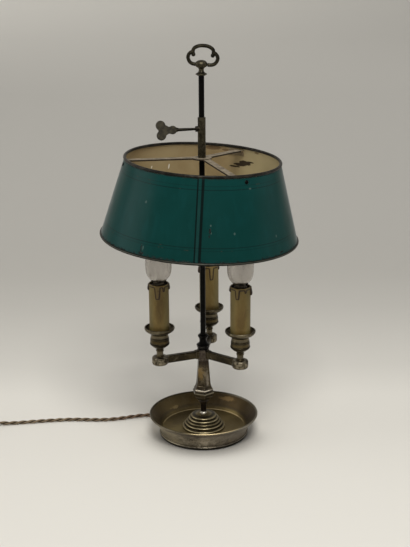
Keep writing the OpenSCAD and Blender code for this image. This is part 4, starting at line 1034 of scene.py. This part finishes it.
def paper_look():
    """Pale paper with painted light falloff, a painted contact shadow close under the lamp, and
    see-through from its back.
    """
    look = Look("backdrop")
    x, y, z = look.parts(look.place)
    way = look.math("ADD", y, look.math("MULTIPLY", z, WAY_RISE))
    span = WAY_LAST - WAY_FIRST
    share = look.math("DIVIDE", look.math("SUBTRACT", way, WAY_FIRST), span)
    colour = look.ramp(share, *(
        ((at - WAY_FIRST) / span, tuple(tone * c for c in BACKDROP_TINT)) for at, tone in BACKDROP_TONES
    ))
    # Painted light and shade from left to right.
    fall = look.blend(look.between(z, 0.28, 0.50), FLOOR_FALL, WALL_FALL)
    level = look.math("SUBTRACT", 1.0, look.math("MULTIPLY", x, fall))
    colour = look.vector("MULTIPLY", colour, look.combined(level, level, level))
    # Painted contact shadow on the floor in front, near the lamp's foot.
    contact_shadow = look.between(look.hollow(50 * MM, local=False), 0.95, 0.35)
    in_front = look.between(y, 20 * MM, -30 * MM)
    colour = look.tinted(colour, look.both(contact_shadow, in_front), 0.7, (0.14, 0.13, 0.115))
    behind = look.node("ShaderNodeNewGeometry").outputs["Backfacing"]
    return look.set(Base_Color=colour, Roughness=0.9, Specular_IOR_Level=0.1,
                    Alpha=look.math("SUBTRACT", 1.0, behind))


def make_stage():
    profile = [(FLOOR_FRONT, 0.0)]
    for i in range(SWEEP_STEPS + 1):
        turn = math.radians(90 * i / SWEEP_STEPS)
        profile.append((FLOOR_BACK + SWEEP_R * math.sin(turn), SWEEP_R * (1 - math.cos(turn))))
    profile.append((FLOOR_BACK + SWEEP_R, BACKDROP_TOP))
    points = [Vector((x, y, z)) for y, z in profile for x in (-BACKDROP_HALF, BACKDROP_HALF)]
    faces = [(2 * i, 2 * i + 1, 2 * i + 3, 2 * i + 2) for i in range(len(profile) - 1)]
    new_piece("backdrop", points, faces, paper_look())


def make_lamp(name, place, target, size, watts):
    data = bpy.data.lights.new(name, "AREA")
    data.shape = "RECTANGLE"
    data.size, data.size_y = size
    data.energy = watts
    data.color = LAMP_COLOUR
    lamp = bpy.data.objects.new(name, data)
    bpy.context.scene.collection.objects.link(lamp)
    lamp.location = place
    lamp.rotation_euler = (Vector(target) - Vector(place)).to_track_quat("-Z", "Y").to_euler()


def make_light():
    world = bpy.data.worlds.new("studio")
    bpy.context.scene.world = world
    world.use_nodes = True
    background = world.node_tree.nodes["Background"]
    background.inputs["Color"].default_value = (*WORLD_COLOUR, 1)
    background.inputs["Strength"].default_value = WORLD_LEVEL
    for lamp in LAMPS:
        make_lamp(*lamp)
    bpy.context.scene.view_settings.view_transform = "Standard"


# ---- Putting the looks on the CAD nodes ----

def dress(look, *names):
    """Give nodes this one material, with smooth shading."""
    for name in names:
        mesh = NODES[name].data
        mesh.materials.clear()
        mesh.materials.append(look)
        for polygon in mesh.polygons:
            polygon.use_smooth = True


def per_arm(stem):
    return [f"{stem}_{arm}" for arm in ARMS]


def dress_plated():
    """Foot, stem, arms and cups. Each look has a pale, a middle and a dark tone, and a warm one for
    patches and for edges, where it is partly wear and partly a painted highlight.
    """
    dress(aged_metal("dish_plate", (0.57, 0.50, 0.385), (0.34, 0.296, 0.220), (0.090, 0.073, 0.050),
                     (0.40, 0.31, 0.17), rough=0.36, cover=dish_tones), "base_dish")
    dress(aged_metal("mound_brass", (0.21, 0.172, 0.094), (0.135, 0.106, 0.053), (0.058, 0.042, 0.018),
                     (0.28, 0.23, 0.13), rough=0.30, grain=0.8, dirt_and_shade_size=2.6 * MM, clean_and_lit=0.95,
                     depth=0.08 * MM, cover=mound_tones), "base_mound")
    dress(aged_metal("collar_brass", (0.10, 0.085, 0.065), (0.045, 0.035, 0.026), (0.015, 0.011, 0.009),
                     (0.20, 0.16, 0.12), rough=0.30, grain=1.4), "centre_tube", "stem_collar")
    dress(aged_metal("stem_plate", (0.134, 0.108, 0.065), (0.052, 0.039, 0.023), (0.016, 0.012, 0.008),
                     (0.32, 0.26, 0.165), rough=0.27, grain=1.5, cover=stem_tones), "stem")
    dress(aged_metal("arm_plate", (0.062, 0.048, 0.025), (0.026, 0.020, 0.010), (0.014, 0.011, 0.007),
                     (0.27, 0.23, 0.16), rough=0.33, grain=1.6, cover=arm_tones), *per_arm("arm"))
    dress(aged_metal("hub_plate", (0.112, 0.090, 0.069), (0.051, 0.040, 0.031), (0.012, 0.009, 0.007),
                     (0.17, 0.14, 0.10), rough=0.33, grain=1.6), "arm_hub")
    dress(aged_metal("cup_plate", (0.082, 0.064, 0.032), (0.034, 0.025, 0.011), (0.014, 0.010, 0.005),
                     (0.26, 0.21, 0.12), rough=0.30, grain=1.8, cover=cup_tones), *per_arm("cup"))
    dress(aged_metal("pan_plate", (0.15, 0.127, 0.080), (0.066, 0.053, 0.031), (0.020, 0.016, 0.009),
                     (0.28, 0.24, 0.15), rough=0.30, grain=1.8), *per_arm("drip_pan"))


def dress_dark():
    """Rod and what is on it."""
    dress(iron_look("black_iron", (0.012, 0.011, 0.009)), "rod", "spider_ring", "shade_rivets")
    # Its pale edges are partly wear and partly a painted highlight.
    dress(iron_look("worn_and_lit_iron", (0.36, 0.335, 0.290)), "rod_socket")
    dress(bronze_look("knob_bronze", 0.95), "finial_knob")
    dress(bronze_look("key_bronze", 0.20), "clamp_key")
    dress(bronze_look("slider_bronze", 0.86, dark_from=SLIDER_R), "slider_tube")
    dress(bronze_look("dark_bronze", 0.38), "finial_loop")


def dress_shade():
    dress(shade_look(), "shade_skin")
    dress(spider_look(), "shade_spider")
    dress(rim_look("top_rim", (0.034, 0.029, 0.021), (0.007, 0.006, 0.004)), "top_rim")
    dress(rim_look("bottom_rim", (0.060, 0.060, 0.047), (0.006, 0.006, 0.0035), (0.0, 0.55)), "bottom_rim")


def dress_candles():
    for arm in ARMS:
        dress(sleeve_look(arm), f"candle_sleeve_{arm}")
    dress(glass_look(), *per_arm("bulb_glass"))
    dress(cap_look(), *per_arm("bulb_cap"))
    dress(mount_look(), "filaments")


def dress_fittings():
    bakelite = plain_look("bakelite", (0.022, 0.010, 0.006), (0.055, 0.024, 0.013), 0.25, scale=40)
    dress(bakelite, "cord_bush", "plug_body", "switch_base", "switch_cover", *per_arm("lampholder"))
    dress(plain_look("steel", (0.28, 0.27, 0.25), (0.48, 0.47, 0.44), 0.35, metallic=1.0),
          "base_washer", "base_nut", "cup_nuts", "plug_pins", *per_arm("cup_nipple"))
    dress(plain_look("steatite", (0.52, 0.49, 0.43), (0.68, 0.65, 0.58), 0.6), "terminal_block")
    dress(plain_look("wire_cover", (0.16, 0.075, 0.035), (0.24, 0.12, 0.06), 0.5), *per_arm("wire"))
    dress(plain_look("rocker_ivory", (0.50, 0.46, 0.34), (0.62, 0.58, 0.46), 0.3), "switch_rocker")
    dress(tie_look(), "cord_tie")


# ---- The scene ----

make_camera()
make_cord(cord_look())
dress_plated()
dress_dark()
dress_shade()
dress_candles()
dress_fittings()
wax = wax_look()
for arm in ARMS:
    make_drips(arm, wax)
make_stage()
make_light()
